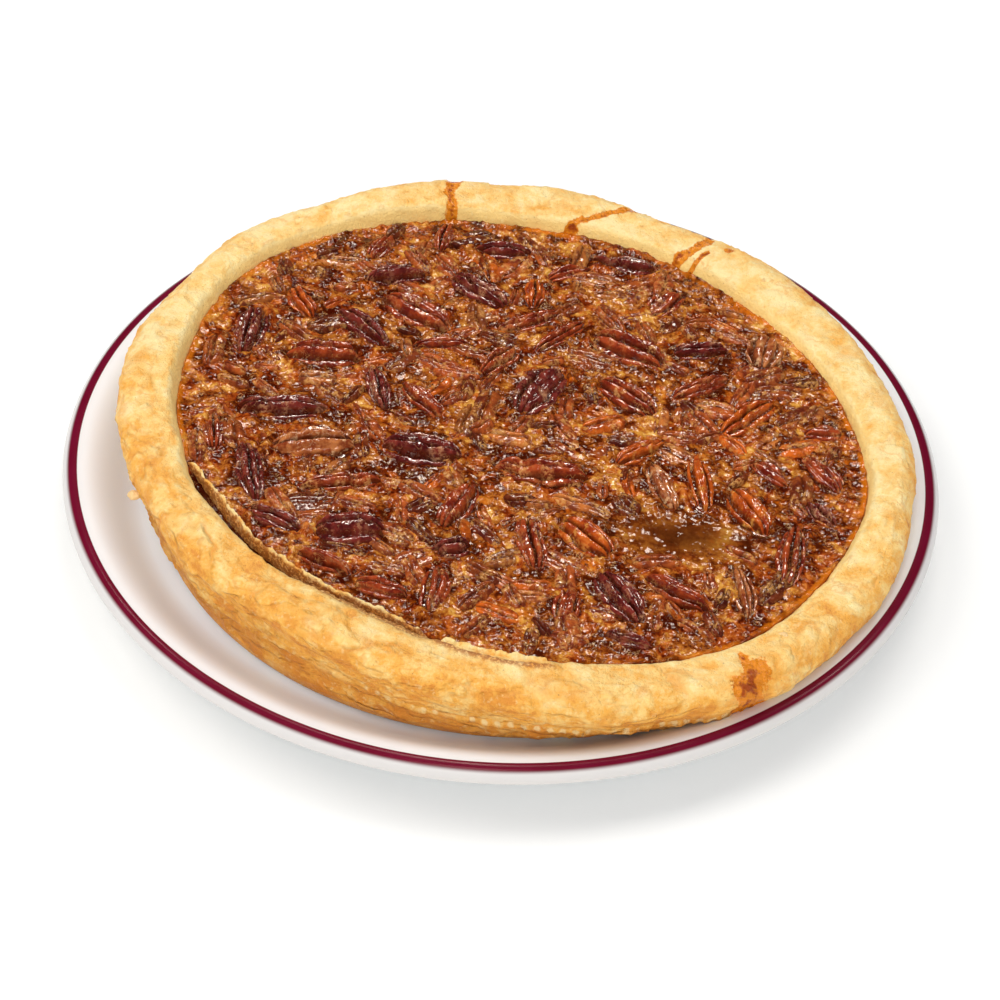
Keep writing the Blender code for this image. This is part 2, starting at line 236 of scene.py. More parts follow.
def tube(name, rings, start, end, paints=None):
    """A closed skin through rings of corners (rows, columns, 3), with the points start and end as its poles.
    The rings run so that the skin faces outwards; paints give rows for every ring corner, then both poles."""
    rows, columns = rings.shape[:2]
    count = rows * columns
    points = np.concatenate([rings.reshape(-1, 3), [start, end]])
    first = np.arange(columns)
    last = first + count - columns
    faces = [faces_of_grid(rows, columns, True), fan(count, first, True), fan(count + 1, last, False)]
    return build(name, points, faces, paints)


def many(name, rings, paints=None):
    """Many closed skins as one piece: rings is (shapes, rows, columns, 3), and each end ring closes on its
    own middle. paints give (shapes, rows * columns + 2, 4)."""
    shapes, rows, columns = rings.shape[:3]
    count = rows * columns + 2
    poles = np.stack([rings[:, 0].mean(axis=1), rings[:, -1].mean(axis=1)], axis=1)
    points = np.concatenate([rings.reshape(shapes, -1, 3), poles], axis=1)
    first = np.arange(columns)
    last = first + (rows - 1) * columns
    quads = faces_of_grid(rows, columns, True)
    tips = np.concatenate([fan(count - 2, first, True), fan(count - 1, last, False)])
    starts = count * np.arange(shapes).reshape(-1, 1, 1)
    faces = [(part[None] + starts).reshape(-1, part.shape[1]) for part in (quads, tips)]
    return build(name, points, faces, paints)


def with_tips(paint, tip):
    """Paint for every corner of a grid, then the same paint for both of its poles."""
    return np.concatenate([paint.reshape(-1, 4), [tip] * 2])


def settle(piece, slot, material, *nodes):
    """Puts a piece on the pie's body with its material, and lets it stand for CAD nodes."""
    piece.data.materials.append(material)
    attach(piece, "root")
    if nodes:
        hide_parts(*nodes)


# ---------------------------------------------------------------- shaders

class Wire:
    """A value in a material. Sums, products and powers of wires and numbers add Math nodes."""

    def __init__(self, maker, socket):
        self.maker = maker
        self.socket = socket

    def reckon(operation, mirrored=False):
        def method(self, other):
            return self.maker.sum(operation, *((other, self) if mirrored else (self, other)))

        return method

    __add__ = __radd__ = reckon("ADD")
    __mul__ = __rmul__ = reckon("MULTIPLY")
    __sub__, __rsub__ = reckon("SUBTRACT"), reckon("SUBTRACT", True)
    __truediv__, __rtruediv__ = reckon("DIVIDE"), reckon("DIVIDE", True)
    __pow__ = reckon("POWER")


class Paint:
    """A material under way: one Principled shader, and short calls for the nodes that feed it."""

    def __init__(self, name, **constants):
        self.material = bpy.data.materials.new(name)
        self.material.use_nodes = True
        self.tree = self.material.node_tree
        self.shader = self.tree.nodes["Principled BSDF"]
        self.set(**constants)
        self.place = self.node("ShaderNodeTexCoord", output="Object")

    def set(self, **values):
        """Sets the shader's sockets: base_color is Base Color, and so on."""
        for title, value in values.items():
            self.feed(self.shader.inputs[title.replace("_", " ").title().replace("Ior", "IOR")], value)

    def feed(self, socket, value):
        if isinstance(value, Wire):
            self.tree.links.new(value.socket, socket)
        elif isinstance(value, tuple) and len(value) == 3 and socket.type == "RGBA":
            socket.default_value = (*value, 1.0)
        else:
            socket.default_value = value

    def node(self, kind, settings=None, inputs=None, output=0):
        """Adds a node of that kind: its settings first, then its sockets' values or links, by name or place."""
        made = self.tree.nodes.new(kind)
        for title, value in (settings or {}).items():
            setattr(made, title, value)
        for title, value in (inputs or {}).items():
            self.feed(made.inputs[title], value)
        return Wire(self, made.outputs[output])

    def sum(self, operation, *values):
        return self.node("ShaderNodeMath", {"operation": operation}, dict(enumerate(values)))

    def step(self, value, low, high):
        """0 below low and 1 above high, smoothly."""
        settings = {"interpolation_type": "SMOOTHSTEP"}
        return self.node("ShaderNodeMapRange", settings, {"Value": value, "From Min": low, "From Max": high})

    def mix(self, share, first, second, blend="MIX"):
        """A colour between two colours."""
        settings = {"data_type": "RGBA", "blend_type": blend}
        return self.node("ShaderNodeMix", settings, {0: share, 6: first, 7: second}, 2)

    def noise(self, grain, detail=2.0, roughness=0.5, distortion=0.0, place=None):
        """Noise from 0 to 1 with blobs of about that size in millimetres."""
        inputs = {
            "Vector": place or self.place, "Scale": 1.0 / (grain * MM), "Detail": detail,
            "Roughness": roughness, "Distortion": distortion,
        }
        return self.node("ShaderNodeTexNoise", None, inputs, "Fac")

    def lines(self, noise, low, high):
        """Thin winding lines where a noise crosses a half: 1 within low of it, 0 beyond high."""
        return 1.0 - self.step(self.sum("ABSOLUTE", noise - 0.5), low, high)

    def streaks(self, noise, reach, patches, limits):
        """Lines in a noise, kept only in patches where another noise is high."""
        return self.lines(self.noise(*noise), *reach) * self.step(self.noise(*patches), *limits)

    def dots(self, grain):
        """Distance from scattered points about that many millimetres apart, in that grain."""
        inputs = {"Vector": self.place, "Scale": 1.0 / (grain * MM)}
        return self.node("ShaderNodeTexVoronoi", None, inputs, "Distance")

    def coats(self, colour, *coats):
        """A colour under several coats, each given as its share and its tint."""
        for share, tint in coats:
            colour = self.mix(share, colour, tint)
        return colour

    def attribute(self, title, output="Color"):
        return self.node("ShaderNodeAttribute", {"attribute_name": title}, None, output)

    def parts(self, whole, kind="ShaderNodeSeparateColor"):
        """The three values in a colour, or in a place."""
        outputs = self.node(kind, None, {0: whole}).socket.node.outputs
        return [Wire(self, output) for output in outputs]

    def bump(self, height, depth):
        """The surface's direction once it is raised by height times depth, in millimetres."""
        return self.node("ShaderNodeBump", None, {"Height": height, "Distance": depth * MM})


# ---------------------------------------------------------------- the pie's measures

def node_points(name):
    """The distinct corners of a CAD node's mesh, in millimetres."""
    mesh = frame["nodes"][name].data
    places = np.empty(3 * len(mesh.vertices), np.float32)
    mesh.vertices.foreach_get("co", places)
    return np.unique((places.reshape(-1, 3).astype(float) / MM).round(2), axis=0)


def measure_shell():
    """The height of the pie's floor, and at each of the shell's spokes its mouth and the mouth's height, its
    rim, its crest's height and its base."""
    points = node_points("crust")
    flat = points[:, :2] - PIE_CENTRE
    radii = np.hypot(*flat.T)
    floor = points[:, 2].min()
    bearings = np.degrees(np.arctan2(flat[:, 1], flat[:, 0]))
    spoke = np.round(bearings / 360.0 * SPOKES).astype(int) % SPOKES
    rows = []
    for index in range(SPOKES):
        radius = radii[spoke == index]
        height = points[spoke == index, 2] - floor
        inmost = np.where(height > 0.55 * height.max(), radius, np.inf).argmin()
        rows.append((radius[inmost], height[inmost], radius.max(), height.max(), radius[height < 0.05].max()))
    names = ("mouth", "mouth_height", "rim", "crest", "base")
    return floor, dict(zip(names, np.array(rows).T))


def level_plane():
    """The filling's level as height = a x + b y + c, by least squares through the shell's mouth."""
    x, y = polar(spokes["mouth"], spoke_bearings)
    plane, *_ = np.linalg.lstsq(np.c_[x, y, np.ones(SPOKES)], spokes["mouth_height"], rcond=None)
    return plane


MOUTH_BELOW_LEVEL = 2.0
pie_floor, spokes = measure_shell()
spoke_bearings = np.arange(SPOKES) * 360.0 / SPOKES
slope_x, slope_y, mouth_level = level_plane()
level = mouth_level + MOUTH_BELOW_LEVEL

# The syrup bulges into the rim a little on the front right and stands back from it behind
spokes["mouth"] = spokes["mouth"] + (
    2.6 * bell(spoke_bearings - 306.0, 22.0) - 1.7 * bell(spoke_bearings - 82.0, 42.0)
)


def around(name, bearings):
    """A measure of the shell at any bearing: the sum of waves that runs smoothly through its spokes' values."""
    waves = np.fft.rfft(spokes[name]) / SPOKES
    weights = np.full(len(waves), 2.0)
    weights[[0, -1]] = 1.0
    turns = np.radians(bearings)[..., None] * np.arange(len(waves))
    return (weights * (waves.real * np.cos(turns) - waves.imag * np.sin(turns))).sum(axis=-1)


def lean(x, y):
    """How far the pie's upper part is raised at (x, y) by its lean."""
    return slope_x * x + slope_y * y


def pie_points(radius, bearing, height):
    """Points of the pie from polar places and heights over its floor, which lean as they rise."""
    x, y = polar(radius, bearing)
    raised = height + unit(height / level) * lean(x, y)
    return beside(x + PIE_CENTRE[0], y + PIE_CENTRE[1], raised + pie_floor)


def over_syrup(x, y, height):
    """Points at (x, y) from the pie's centre and at heights over the filling's level."""
    return beside(x + PIE_CENTRE[0], y + PIE_CENTRE[1], pie_floor + level + lean(x, y) + height)


def measure_pecan(name):
    """A pecan's frame from its corners: its middle, its length's and width's directions, and its sizes."""
    points = node_points(name)
    middle = 0.5 * (points.min(axis=0) + points.max(axis=0))
    _, _, axes = np.linalg.svd(points[:, :2] - points[:, :2].mean(axis=0), full_matrices=False)
    along = np.array([axes[0, 0], axes[0, 1], 0.0])
    up = np.array([-slope_x, -slope_y, 1.0])
    up /= np.linalg.norm(up)
    along -= up * along.dot(up)
    along /= np.linalg.norm(along)
    across = np.cross(up, along)
    local = (points - middle) @ np.stack([along, across, up], axis=1)
    centre = middle + along * 0.5 * (local[:, 0].max() + local[:, 0].min())
    centre = centre + across * 0.5 * (local[:, 1].max() + local[:, 1].min())
    x, y = centre[:2] - PIE_CENTRE
    return {
        "centre": np.array([centre[0], centre[1], pie_floor + level + lean(x, y)]),
        "along": along, "across": across, "up": up, "x": x, "y": y,
        "length": np.ptp(local[:, 0]), "width": np.ptp(local[:, 1]),
        "top": (points[:, 2] - pie_floor - level - lean(*(points[:, :2] - PIE_CENTRE).T)).max(),
    }


pecans = {name: measure_pecan(name) for name in sorted(frame["nodes"]) if name.startswith("pecan_")}
pecan_slots = {row["node"]: row["material_slot"] for row in frame["record"]["subparts"] if "node" in row}


# ---------------------------------------------------------------- the plate

PLATE_STEPS = 256
RING_RADIUS = 131.9
RING_WIDTH = 3.1


def plate_section():
    """The plate's section as (radius, height), from its well over the lip to the middle underneath: a flank
    that rises in an even S, a lip that rolls over and down, and a foot ring."""
    _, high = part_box("plate")
    edge = high.x / MM
    top = high.z / MM
    floor = pie_floor - 0.3
    share = np.linspace(0.0, 1.0, 9)
    flank = np.stack([edge - 24.0 + 19.4 * share, floor + (top - floor) * smooth(share, 0.0, 1.0)], axis=1)
    lip = [
        (edge - 3.4, top + 0.05), (edge - 2.0, top - 0.5), (edge - 0.7, top - 1.5), (edge + 0.05, top - 3.0),
        (edge - 0.3, top - 4.3), (edge - 1.6, top - 5.3),
    ]
    under = [
        (edge - 9.0, top - 8.2), (edge - 22.0, 7.6), (edge - 40.0, 5.9), (84.0, 5.6),
        (82.4, 3.4), (81.6, 0.6), (80.6, 0.0), (78.4, 0.0), (77.4, 0.6), (76.6, 3.4), (75.0, 5.4),
    ]
    return np.array([(20.0, floor), (90.0, floor), *flank, *lip, *under, (20.0, 5.6)])


def make_plate():
    """A turned body: the rounded section carried round the Z axis."""
    section = corner_cut(plate_section(), 2)
    turn = np.linspace(0.0, 2.0 * np.pi, PLATE_STEPS, endpoint=False)
    radius, height = section[:, None, 0], section[:, None, 1]
    rings = beside(radius * np.cos(turn), radius * np.sin(turn), height)
    top = (0.0, 0.0, section[0, 1])
    bottom = (0.0, 0.0, section[-1, 1])
    return tube("plate_body", rings[::-1], bottom, top)


def glaze():
    """White glazed porcelain: bluish in the well, a painted tint that cancels the warm light bounced off the crust,
    and a darker warm grey on the lip as painted shade; with a thin ring of dark red under the glaze on the lip,
    crisp on its inner side and softer on its outer side."""
    paint = Paint("plate_glaze", roughness=0.2, specular_ior_level=0.12)
    x, y, z = paint.parts(paint.place, "ShaderNodeSeparateXYZ")
    radius = paint.sum("SQRT", x * x + y * y) / MM
    inner = RING_RADIUS - 0.5 * RING_WIDTH
    outer = RING_RADIUS + 0.5 * RING_WIDTH
    ring = paint.step(radius, inner - 0.12, inner + 0.12) * (1.0 - paint.step(radius, outer - 0.7, outer + 0.5))
    ring = ring * paint.step(z, 0.019, 0.0195)
    red = paint.mix(paint.noise(9.0, 3.0), (0.12, 0.002, 0.011), (0.17, 0.005, 0.028))
    # Painted light: the well's white is bluish against the crust's warm bounce light, the flank a plainer
    # grey-white, and the lip a darker warm grey as painted shade
    white = paint.mix(paint.noise(40.0, 2.0), (0.80, 0.885, 0.96), (0.83, 0.91, 0.98))
    flank = (paint.step(radius, 118.0, 130.0), (0.88, 0.89, 0.90))
    lip = (paint.step(radius, 127.0, 134.0), (0.69, 0.65, 0.62))
    paint.set(base_color=paint.coats(white, flank, lip, (ring, red)))
    paint.set(normal=paint.bump(paint.noise(25.0, 1.0), 0.08))
    return paint.material


# ---------------------------------------------------------------- the pastry shell

FLAKE_FROM = 193.0
FLAKE_TO = 264.0
FLAKE_FADE = 12.0
CRACK_WIDTH = 4.6
SHELL_RADIUS = 115.0
SEAM_BELOW_CREST, SEAM_BUBBLES, SCALLOPS = 15.2, 210, 57


def flake_share(bearing):
    """1 along the part of the rim whose inner layer has lifted, 0 elsewhere."""
    bearing = bearing % 360.0
    return smooth(bearing, FLAKE_FROM, FLAKE_FROM + FLAKE_FADE) * smooth(-bearing, -FLAKE_TO, -FLAKE_TO + FLAKE_FADE)


def along_points(bearing, radius):
    """Points on a circle of that radius, for noise that closes on itself round the pie."""
    return beside(*polar(radius, bearing), 0.0)


def own_crest(bearing):
    """The rim's height before the lean is added."""
    return around("crest", bearing) - lean(*polar(around("rim", bearing) - 5.0, bearing))


def shell_outline(bearing):
    """The shell's section at each bearing, (points, bearings, 2) as radius and height, from the floor's middle up
    the inner wall, over the rim and down the outside to the base. Behind the flake the wall stands back, and
    further along a crumbly ledge fills that gap."""
    mouth = around("mouth", bearing)
    rim = around("rim", bearing)
    crest = own_crest(bearing)
    base = around("base", bearing)
    part = flake_share(bearing)
    ledge = part * smooth(bearing, 226.0, 242.0)
    rise = crest - level
    back = mouth + part * CRACK_WIDTH
    lip = back - ledge * 2.6
    full = 2.4 * bell(bearing - 316.0, 26.0)
    points = [
        (0.3 * mouth, FLOOR_THICKNESS), (mouth - 9.0, FLOOR_THICKNESS),
        (lip - 3.5, 6.5), (lip - 0.3, level - 5.0), (lip + 0.1, level - 0.8),
        (lip + 0.4, level + 0.20 * rise), (back + 1.1 - 0.6 * ledge, level + 0.50 * rise - 0.9 * part),
        (back + 2.0, level + 0.80 * rise - 0.5 * part), (back + 3.6, level + 0.95 * rise - 0.3 * part),
        (0.62 * back + 0.38 * rim + 1.0, level + 0.97 * rise), (0.36 * back + 0.64 * rim, crest + 0.2),
        (rim - 4.2, crest - 0.1), (rim - 1.5, crest - 1.7), (rim + 0.1, crest - 4.2),
        (rim - 0.3 + 0.4 * full, crest - 6.8), (rim - 2.0 + 0.8 * full, crest - 9.6),
        (0.80 * rim + 0.20 * base + full, crest - 12.6), (0.74 * rim + 0.26 * base + full, crest - 14.8),
        (0.66 * rim + 0.34 * base + 0.4 + full, crest - 17.0),
        (0.42 * rim + 0.58 * base + 2.8 + full, 0.45 * (crest - 17.0)),
        (base + 6.2 + full, 1.2), (base + 5.6 + full, -0.1), (base - 8.0, 0.0),
    ]
    return np.stack([beside(*pair) for pair in points])


def row_places():
    """Where the shell's rows lie along its section: few on the hidden floor, most on the parts that show."""
    hidden = np.linspace(0.0, 0.44, 7, endpoint=False)
    shown = np.linspace(0.44, 0.985, SHELL_ROWS - 9)
    return np.concatenate([hidden, shown, [0.993, 1.0]])


def make_shell():
    """The baked case: its section at every bearing, pushed outwards by soft waves, blisters, folds, the seam
    below the rim with its row of bubbles, a scalloped foot and raised runs of syrup."""
    bearing = np.linspace(0.0, 360.0, SHELL_STEPS, endpoint=False)
    section = spaced(corner_cut(shell_outline(bearing), 3), row_places())
    radius, height = section[..., 0], section[..., 1]
    points = pie_points(radius, bearing, height)
    mouth = around("mouth", bearing)
    crest = own_crest(bearing)
    shown = unit(smooth(height, level - 3.0, level - 0.5) + (radius > mouth + 8.0))
    shown = shown * smooth(height, 0.3, 5.0)
    past = np.arange(len(height))[:, None] - height.argmax(axis=0)
    outer = smooth(past, 1.0, 9.0)
    over = smooth(past, -12.0, -2.0)
    part = flake_share(bearing)
    front = facing(bearing, 285.0, 62.0)
    left = facing(bearing, 222.0, 36.0)

    # Waves, blisters and folds
    arc = beside(SHELL_RADIUS * np.radians(bearing), radius, height)
    relief = 0.45 * cloud(points, 24.0, 2, 11)
    relief += 0.28 * cloud(points, 7.0, 3, 21)
    relief += 0.14 * cloud(points, 2.6, 2, 25)
    near, kind = cells(points, 5.0, 41)
    blister = unit(1.0 - 1.9 * near) ** 1.4 * (kind > 0.5)
    relief += 0.40 * blister
    layer = 2.6 * cloud(arc * [0.45, 1.0, 1.3], 15.0, 3, 31)
    within = layer - np.floor(layer)
    terrace = np.floor(layer) + smooth(within, 0.44, 0.56) - 0.75 * layer
    folds = 0.35 + 0.65 * left + 0.35 * front
    relief += 0.65 * terrace * folds * over + 0.20 * terrace
    crease = bell(within - 0.47, 0.11) * smooth(cloud(points, 9.0, 2, 33), -0.3, 0.3)
    relief -= 0.30 * crease * (over * folds + 0.1)

    # The seam, its bubbles, and the scalloped band below it
    ring_place = along_points(bearing, SHELL_RADIUS)
    wobble = 0.6 * ripple(along_points(bearing, 40.0), 16.0, 61) + 0.3 * ripple(ring_place, 7.0, 62)
    seam = crest - SEAM_BELOW_CREST + wobble
    groove = bell(height - seam, 0.9) * outer * (0.15 + 0.85 * front)
    relief -= 1.2 * groove
    spots = 0.5 + 0.5 * np.cos(np.radians(bearing * SEAM_BUBBLES + 60.0 * ripple(ring_place, 18.0, 63)))
    strength = front * smooth(ripple(ring_place, 11.0, 64), -0.45, 0.15)
    bead = bell(height - seam - 0.9, 0.8) * spots * strength * outer
    relief += 0.6 * bead
    below = 1.0 - smooth(height, seam - 0.8, seam + 0.4)
    drift = 60.0 * ripple(along_points(bearing, 60.0), 30.0, 65)
    scallop = 0.5 + 0.5 * np.cos(np.radians(bearing * SCALLOPS + drift))
    relief += 0.8 * below * scallop**0.7 * (0.4 + 0.6 * front) * outer
    flaky = facing(bearing, 312.0, 26.0)
    layers = ridges(arc * [0.4, 1.0, 1.8], 6.0, 3, 36)
    relief += 0.6 * np.clip(layers, -0.5, 1.4) * (flaky * bell(height - seam - 1.5, 4.0) + 0.3 * below) * outer

    # Cracks along the mouth, runs of syrup, and crumbs on the ledge
    back = radius - mouth - CRACK_WIDTH * part
    lip_line = bell(back - 3.2, 0.5) * (height > level)
    tucked = bell(radius - mouth - 4.7 - 0.7 * wobble, 0.9) * (height > level) * smooth(bearing, 256.5, 260.0)
    tucked = tucked * (1.0 - smooth(bearing, 275.0, 278.5))
    relief -= 0.9 * tucked
    crack = lip_line * smooth(ripple(ring_place, 5.0, 66) + 0.4 * ripple(ring_place, 1.9, 67), 0.15, 0.5)
    relief -= 0.7 * crack
    stain = stains(points)
    bubbles = unit(1.0 - 2.2 * cells(points, 2.2, 71)[0])
    relief += smooth(stain, 0.40, 0.62) * (0.35 + 0.9 * bubbles)
    ledge = part * smooth(bearing, 224.0, 240.0) * bell(radius - mouth - 3.0, 3.2)
    ledge = ledge * smooth(height, level - 1.0, level)
    relief += 0.6 * cloud(points, 2.2, 3, 81) * ledge
    moved = points + outward(points) * (relief * shown)[..., None]

    browning = 0.5 + 0.5 * cloud(points, 10.0, 4, 91) + 0.20 * front + 0.26 * left - 0.12 + 0.34 * outer
    browning = browning + 0.25 * blister + 0.30 * terrace
    # Painted shade: the scallops' grooves here, and in the next line the seam's groove, the folds' creases, the
    # ledge, the cracks and the tucked gap, are darkened in the colour; the bubbles are kept clear of it
    grooves = below * (1.0 - scallop) ** 2 * outer * 0.7
    crevice_shade = groove + 0.7 * crease * folds * over + 0.7 * ledge + 0.8 * crack + 1.2 * tucked + grooves - 1.2 * bead
    strip = (1.0 - smooth(back, 1.2, 3.0)) * (height > 5.0)
    # crumbly: a dark crumbly colour on the ledge and in the tucked gap, partly crumbs and partly painted shade in
    # the gap
    crumbly = unit(ledge + 1.2 * tucked)
    bake = beside(browning, stain, below * outer, unit(crevice_shade))
    form = beside(strip, crumbly, unit(folds * over), bead)
    paints = {"bake": with_tips(bake, [0.5, 0.0, 0.0, 0.0]), "form": with_tips(form, [0.0] * 4)}
    return tube("crust_shell", moved, pie_points(0.0, 0.0, FLOOR_THICKNESS), pie_points(0.0, 0.0, 0.0), paints)


def outward(points):
    """Unit directions out of a grid that wraps along its second axis, by the cross product of its steps."""
    along = np.gradient(points, axis=0)
    around_step = np.roll(points, -1, axis=1) - np.roll(points, 1, axis=1)
    direction = np.cross(around_step, along)
    return direction / np.maximum(np.linalg.norm(direction, axis=-1, keepdims=True), 1e-9)


# Syrup that ran over the rim: each run as its points (x, y) from the pie's centre, and its half width
SYRUP_RUNS = [
    ([(-26.3, 98), (-26.8, 107), (-25.8, 115)], 1.7),
    ([(-25.8, 115), (-26.3, 124)], 2.3),
    ([(12.5, 99), (24, 105.5), (33.5, 110.5)], 1.4),
    ([(33.5, 110.5), (42, 114)], 1.9),
    ([(47, 85), (55, 92.5), (60, 97.5)], 1.9),
    ([(53, 83), (59, 89.5)], 1.1),
    ([(66, 91.5), (66.5, 92)], 1.5),
    ([(64, 101.5), (65, 102)], 1.5),
    ([(71, 93.5), (75, 91.5)], 0.9),
    ([(67.5, -107), (70, -101)], 3.9),
    ([(66, -95), (67, -100)], 1.0),
    ([(70, -105), (73, -111)], 1.6),
    ([(-45, 118.5), (-44, 120)], 1.4),
]


def segment_distance(points, start, end):
    """Distance in plan from each point to a straight run."""
    start = np.array(start, float)
    run = np.array(end, float) - start
    share = unit(((points - start) @ run) / max(run @ run, 1e-9))
    return np.linalg.norm(points - start - share[..., None] * run, axis=-1)


def stains(points):
    """How deep each point lies in a run of syrup: 1 in its middle, 0.5 at its edge, 0 well away."""
    shift = beside(ripple(points, 4.5, 75), ripple(points, 4.5, 76))
    flat = points[..., :2] - PIE_CENTRE + 1.3 * shift
    depth = np.zeros(flat.shape[:-1])
    for route, half in SYRUP_RUNS:
        for start, end in zip(route, route[1:]):
            depth = np.maximum(depth, 1.0 - 0.5 * segment_distance(flat, start, end) / half)
    return unit(depth)


def pastry():
    """Baked shortcrust: gold, browned in soft patches and blisters, cream on the inner wall, a browner foot,
    orange brown painted shade in the creases, folds, seam, cracks and gaps, fine dark specks, and dark red-brown
    where syrup ran over it."""
    paint = Paint("pastry", specular_ior_level=0.3)
    bake, stain, low = paint.parts(paint.attribute("bake"))
    # The bake attribute's fourth value is painted shade: darker colour in the seam's groove, creases, cracks, gaps
    # and scallops
    crease = paint.attribute("bake", "Alpha")
    strip, crumbly, side = paint.parts(paint.attribute("form"))
    bead = paint.attribute("form", "Alpha")
    mottle = paint.noise(3.6, 4.0, 0.6)
    fine = paint.noise(0.9, 3.0, 0.6)
    value = bake + 0.02 + (mottle - 0.5) * 1.5 + (fine - 0.5) * 0.5 + low * 0.20 - strip * 0.7
    vein = paint.streaks((9.0, 3.0, 0.55, 0.3), (0.004, 0.036), (13.0, 1.0), (0.50, 0.64)) * (1.0 - strip)
    drawn = paint.node("ShaderNodeVectorMath", {"operation": "MULTIPLY"}, {0: paint.place, 1: (0.38, 0.38, 1.0)})
    wave = paint.noise(6.5, 2.0, 0.5, 0.5, drawn)
    # Painted shade: darker orange-brown lines along the folds' creases on the outer wall (soft and fold)
    soft = paint.lines(wave, 0.0, 0.09) * side
    fold = paint.lines(wave, 0.004, 0.045) * paint.step(paint.noise(8.0, 1.0), 0.44, 0.60) * side
    nick = paint.streaks((4.5, 1.0), (0.004, 0.014), (5.0, 1.0), (0.62, 0.70))
    speck = 1.0 - paint.step(paint.dots(3.0) + (fine - 0.5) * 0.25, 0.03, 0.09)
    colour = paint.coats(
        (0.97, 0.74, 0.34),
        (paint.step(value, 0.0, 0.62), (0.95, 0.60, 0.19)),
        (paint.step(value, 0.50, 1.10), (0.90, 0.42, 0.065)),
        (paint.step(value, 1.0, 1.45) * 0.75, (0.70, 0.23, 0.027)),
        (low * 0.18, (0.62, 0.23, 0.035)),
        (strip * 0.88, (1.0, 0.64, 0.20)),
        (vein * 0.42, (0.78, 0.30, 0.040)),
        (soft * 0.38, (0.86, 0.38, 0.055)),
        (fold * 0.50, (0.74, 0.25, 0.027)),
        (nick * 0.40, (0.62, 0.22, 0.030)),
        # painted shade in the recesses, from the bake attribute's fourth value
        (paint.step(crease, 0.1, 0.9) * 0.55, (0.70, 0.24, 0.028)),
        # dark crumbly colour: partly crumbs, partly painted shade in the gaps by the ledge and behind the flake
        (crumbly * paint.step(fine, 0.38, 0.52) * 0.85, (0.34, 0.10, 0.018)),
        (paint.step(bead, 0.2, 0.6) * 0.7, (0.99, 0.74, 0.36)),
        (paint.step(paint.noise(2.0, 3.0, 0.55), 0.58, 0.70) * 0.35, (0.98, 0.75, 0.36)),
        (speck * 0.5, (0.40, 0.13, 0.025)),
    )
    edge = stain + (mottle - 0.5) * 0.55 + (fine - 0.5) * 0.30
    wet = paint.step(edge, 0.42, 0.54)
    thick = paint.step(edge + (paint.noise(3.0, 2.0) - 0.5) * 2.4, 0.75, 1.25)
    paint.set(base_color=paint.mix(wet, colour, paint.mix(thick, (0.80, 0.25, 0.014), (0.38, 0.062, 0.006))))
    paint.set(roughness=0.55 - wet * 0.35)
    rough = mottle * 0.45 + fine * 0.40 + paint.noise(0.45, 2.0) * 0.15 - soft * 0.7
    paint.set(normal=paint.bump(rough + wet * (paint.noise(1.6, 1.0) - 0.5) * 1.2, 0.9))
    return paint.material


# ---------------------------------------------------------------- the lifted flake

FLAKE_STEPS = 420

# Lifted layers: bearings from and to, how far the foot stands out from the mouth, lean inwards, and the heights
# of the foot, of the top edge and of the end of the painted shade on the sheet, over the filling
LIFTED_LAYERS = [
    ("rim_flake", 194.5, 260.0, 1.2, 0.6, -4.0, 2.0, 1.7),
    ("rim_flake_small", 258.5, 277.0, 3.8, 2.4, 1.4, 4.3, 2.9),
]


def make_flake(name, start, end, foot_out, lean_in, low, tall, dark_below):
    """A layer of the rim lifted off it: a thin sheet carried along a wavering path just inside the rim, as a
    flat closed section whose top edge is ragged and leans inwards, darkened below dark_below as painted shade
    where it stands in the gap; heights are over the filling."""
    share = np.linspace(0.0, 1.0, FLAKE_STEPS)
    bearing = start + (end - start) * share
    ends = smooth(share, 0.0, 0.09) * (1.0 - smooth(share, 0.92, 1.0))
    path = along_points(bearing, 100.0)
    foot = around("mouth", bearing) + foot_out + 0.45 * ripple(path, 12.0, 201)
    waver = 0.9 * cloud(path, 9.0, 3, 203)
    top = foot - (lean_in + waver) * ends + 0.8 * (1.0 - ends)
    ragged = 0.7 * ripple(path, 13.0, 205) + 0.9 * cloud(path, 3.0, 3, 207)
    rise = low + 1.0 + (tall - low - 1.0 + ragged) * ends
    thick = 0.33 + 0.08 * ripple(path, 3.0, 209)
    inner = [
        (foot + (top - foot) * step**1.6 - thick, level + low + (rise - low) * step)
        for step in (0.0, 0.3, 0.55, 0.8, 0.94)
    ]
    crown = [(top - 0.35 * thick, level + rise), (top + 0.35 * thick, level + rise)]
    outside = [(radius + 2.4 * thick, height) for radius, height in reversed(inner)]
    section = np.array(inner + crown + outside).transpose(2, 0, 1)
    points = pie_points(section[..., 0], bearing[:, None], section[..., 1])
    points += 0.18 * cloud(points, 1.8, 2, 211)[..., None]
    tone = 0.45 + 0.7 * cloud(points, 4.0, 3, 213)
    # Painted shade: the flake's face is darkened below dark_below over the filling, where it stands in the gap by
    # the rim
    edge = section[..., 1] - level - dark_below + 0.8 * cloud(points, 4.0, 3, 215)
    flake_gap_shade = 1.0 - smooth(edge, -0.5, 0.4)
    bake = with_tips(beside(tone, 0.0, 0.0, flake_gap_shade), [0.5, 0.0, 0.0, 0.3])
    form = with_tips(beside(0.0, flake_gap_shade, 0.0, 0.0), [0.0] * 4)
    poles = points[0].mean(axis=0), points[-1].mean(axis=0)
    return tube(name, points[:, ::-1], *poles, {"bake": bake, "form": form})


# Crumbs of pastry: place (x, y) from the pie's centre, height above the pie's floor, size
CRUMBS = [(-112.2, -45.0, 18.0, 2.1), (78.0, -86.0, 23.6, 1.5), (-86.0, -60.0, 23.0, 1.1)]
CRUMB_ROWS, CRUMB_STEPS = 8, 12


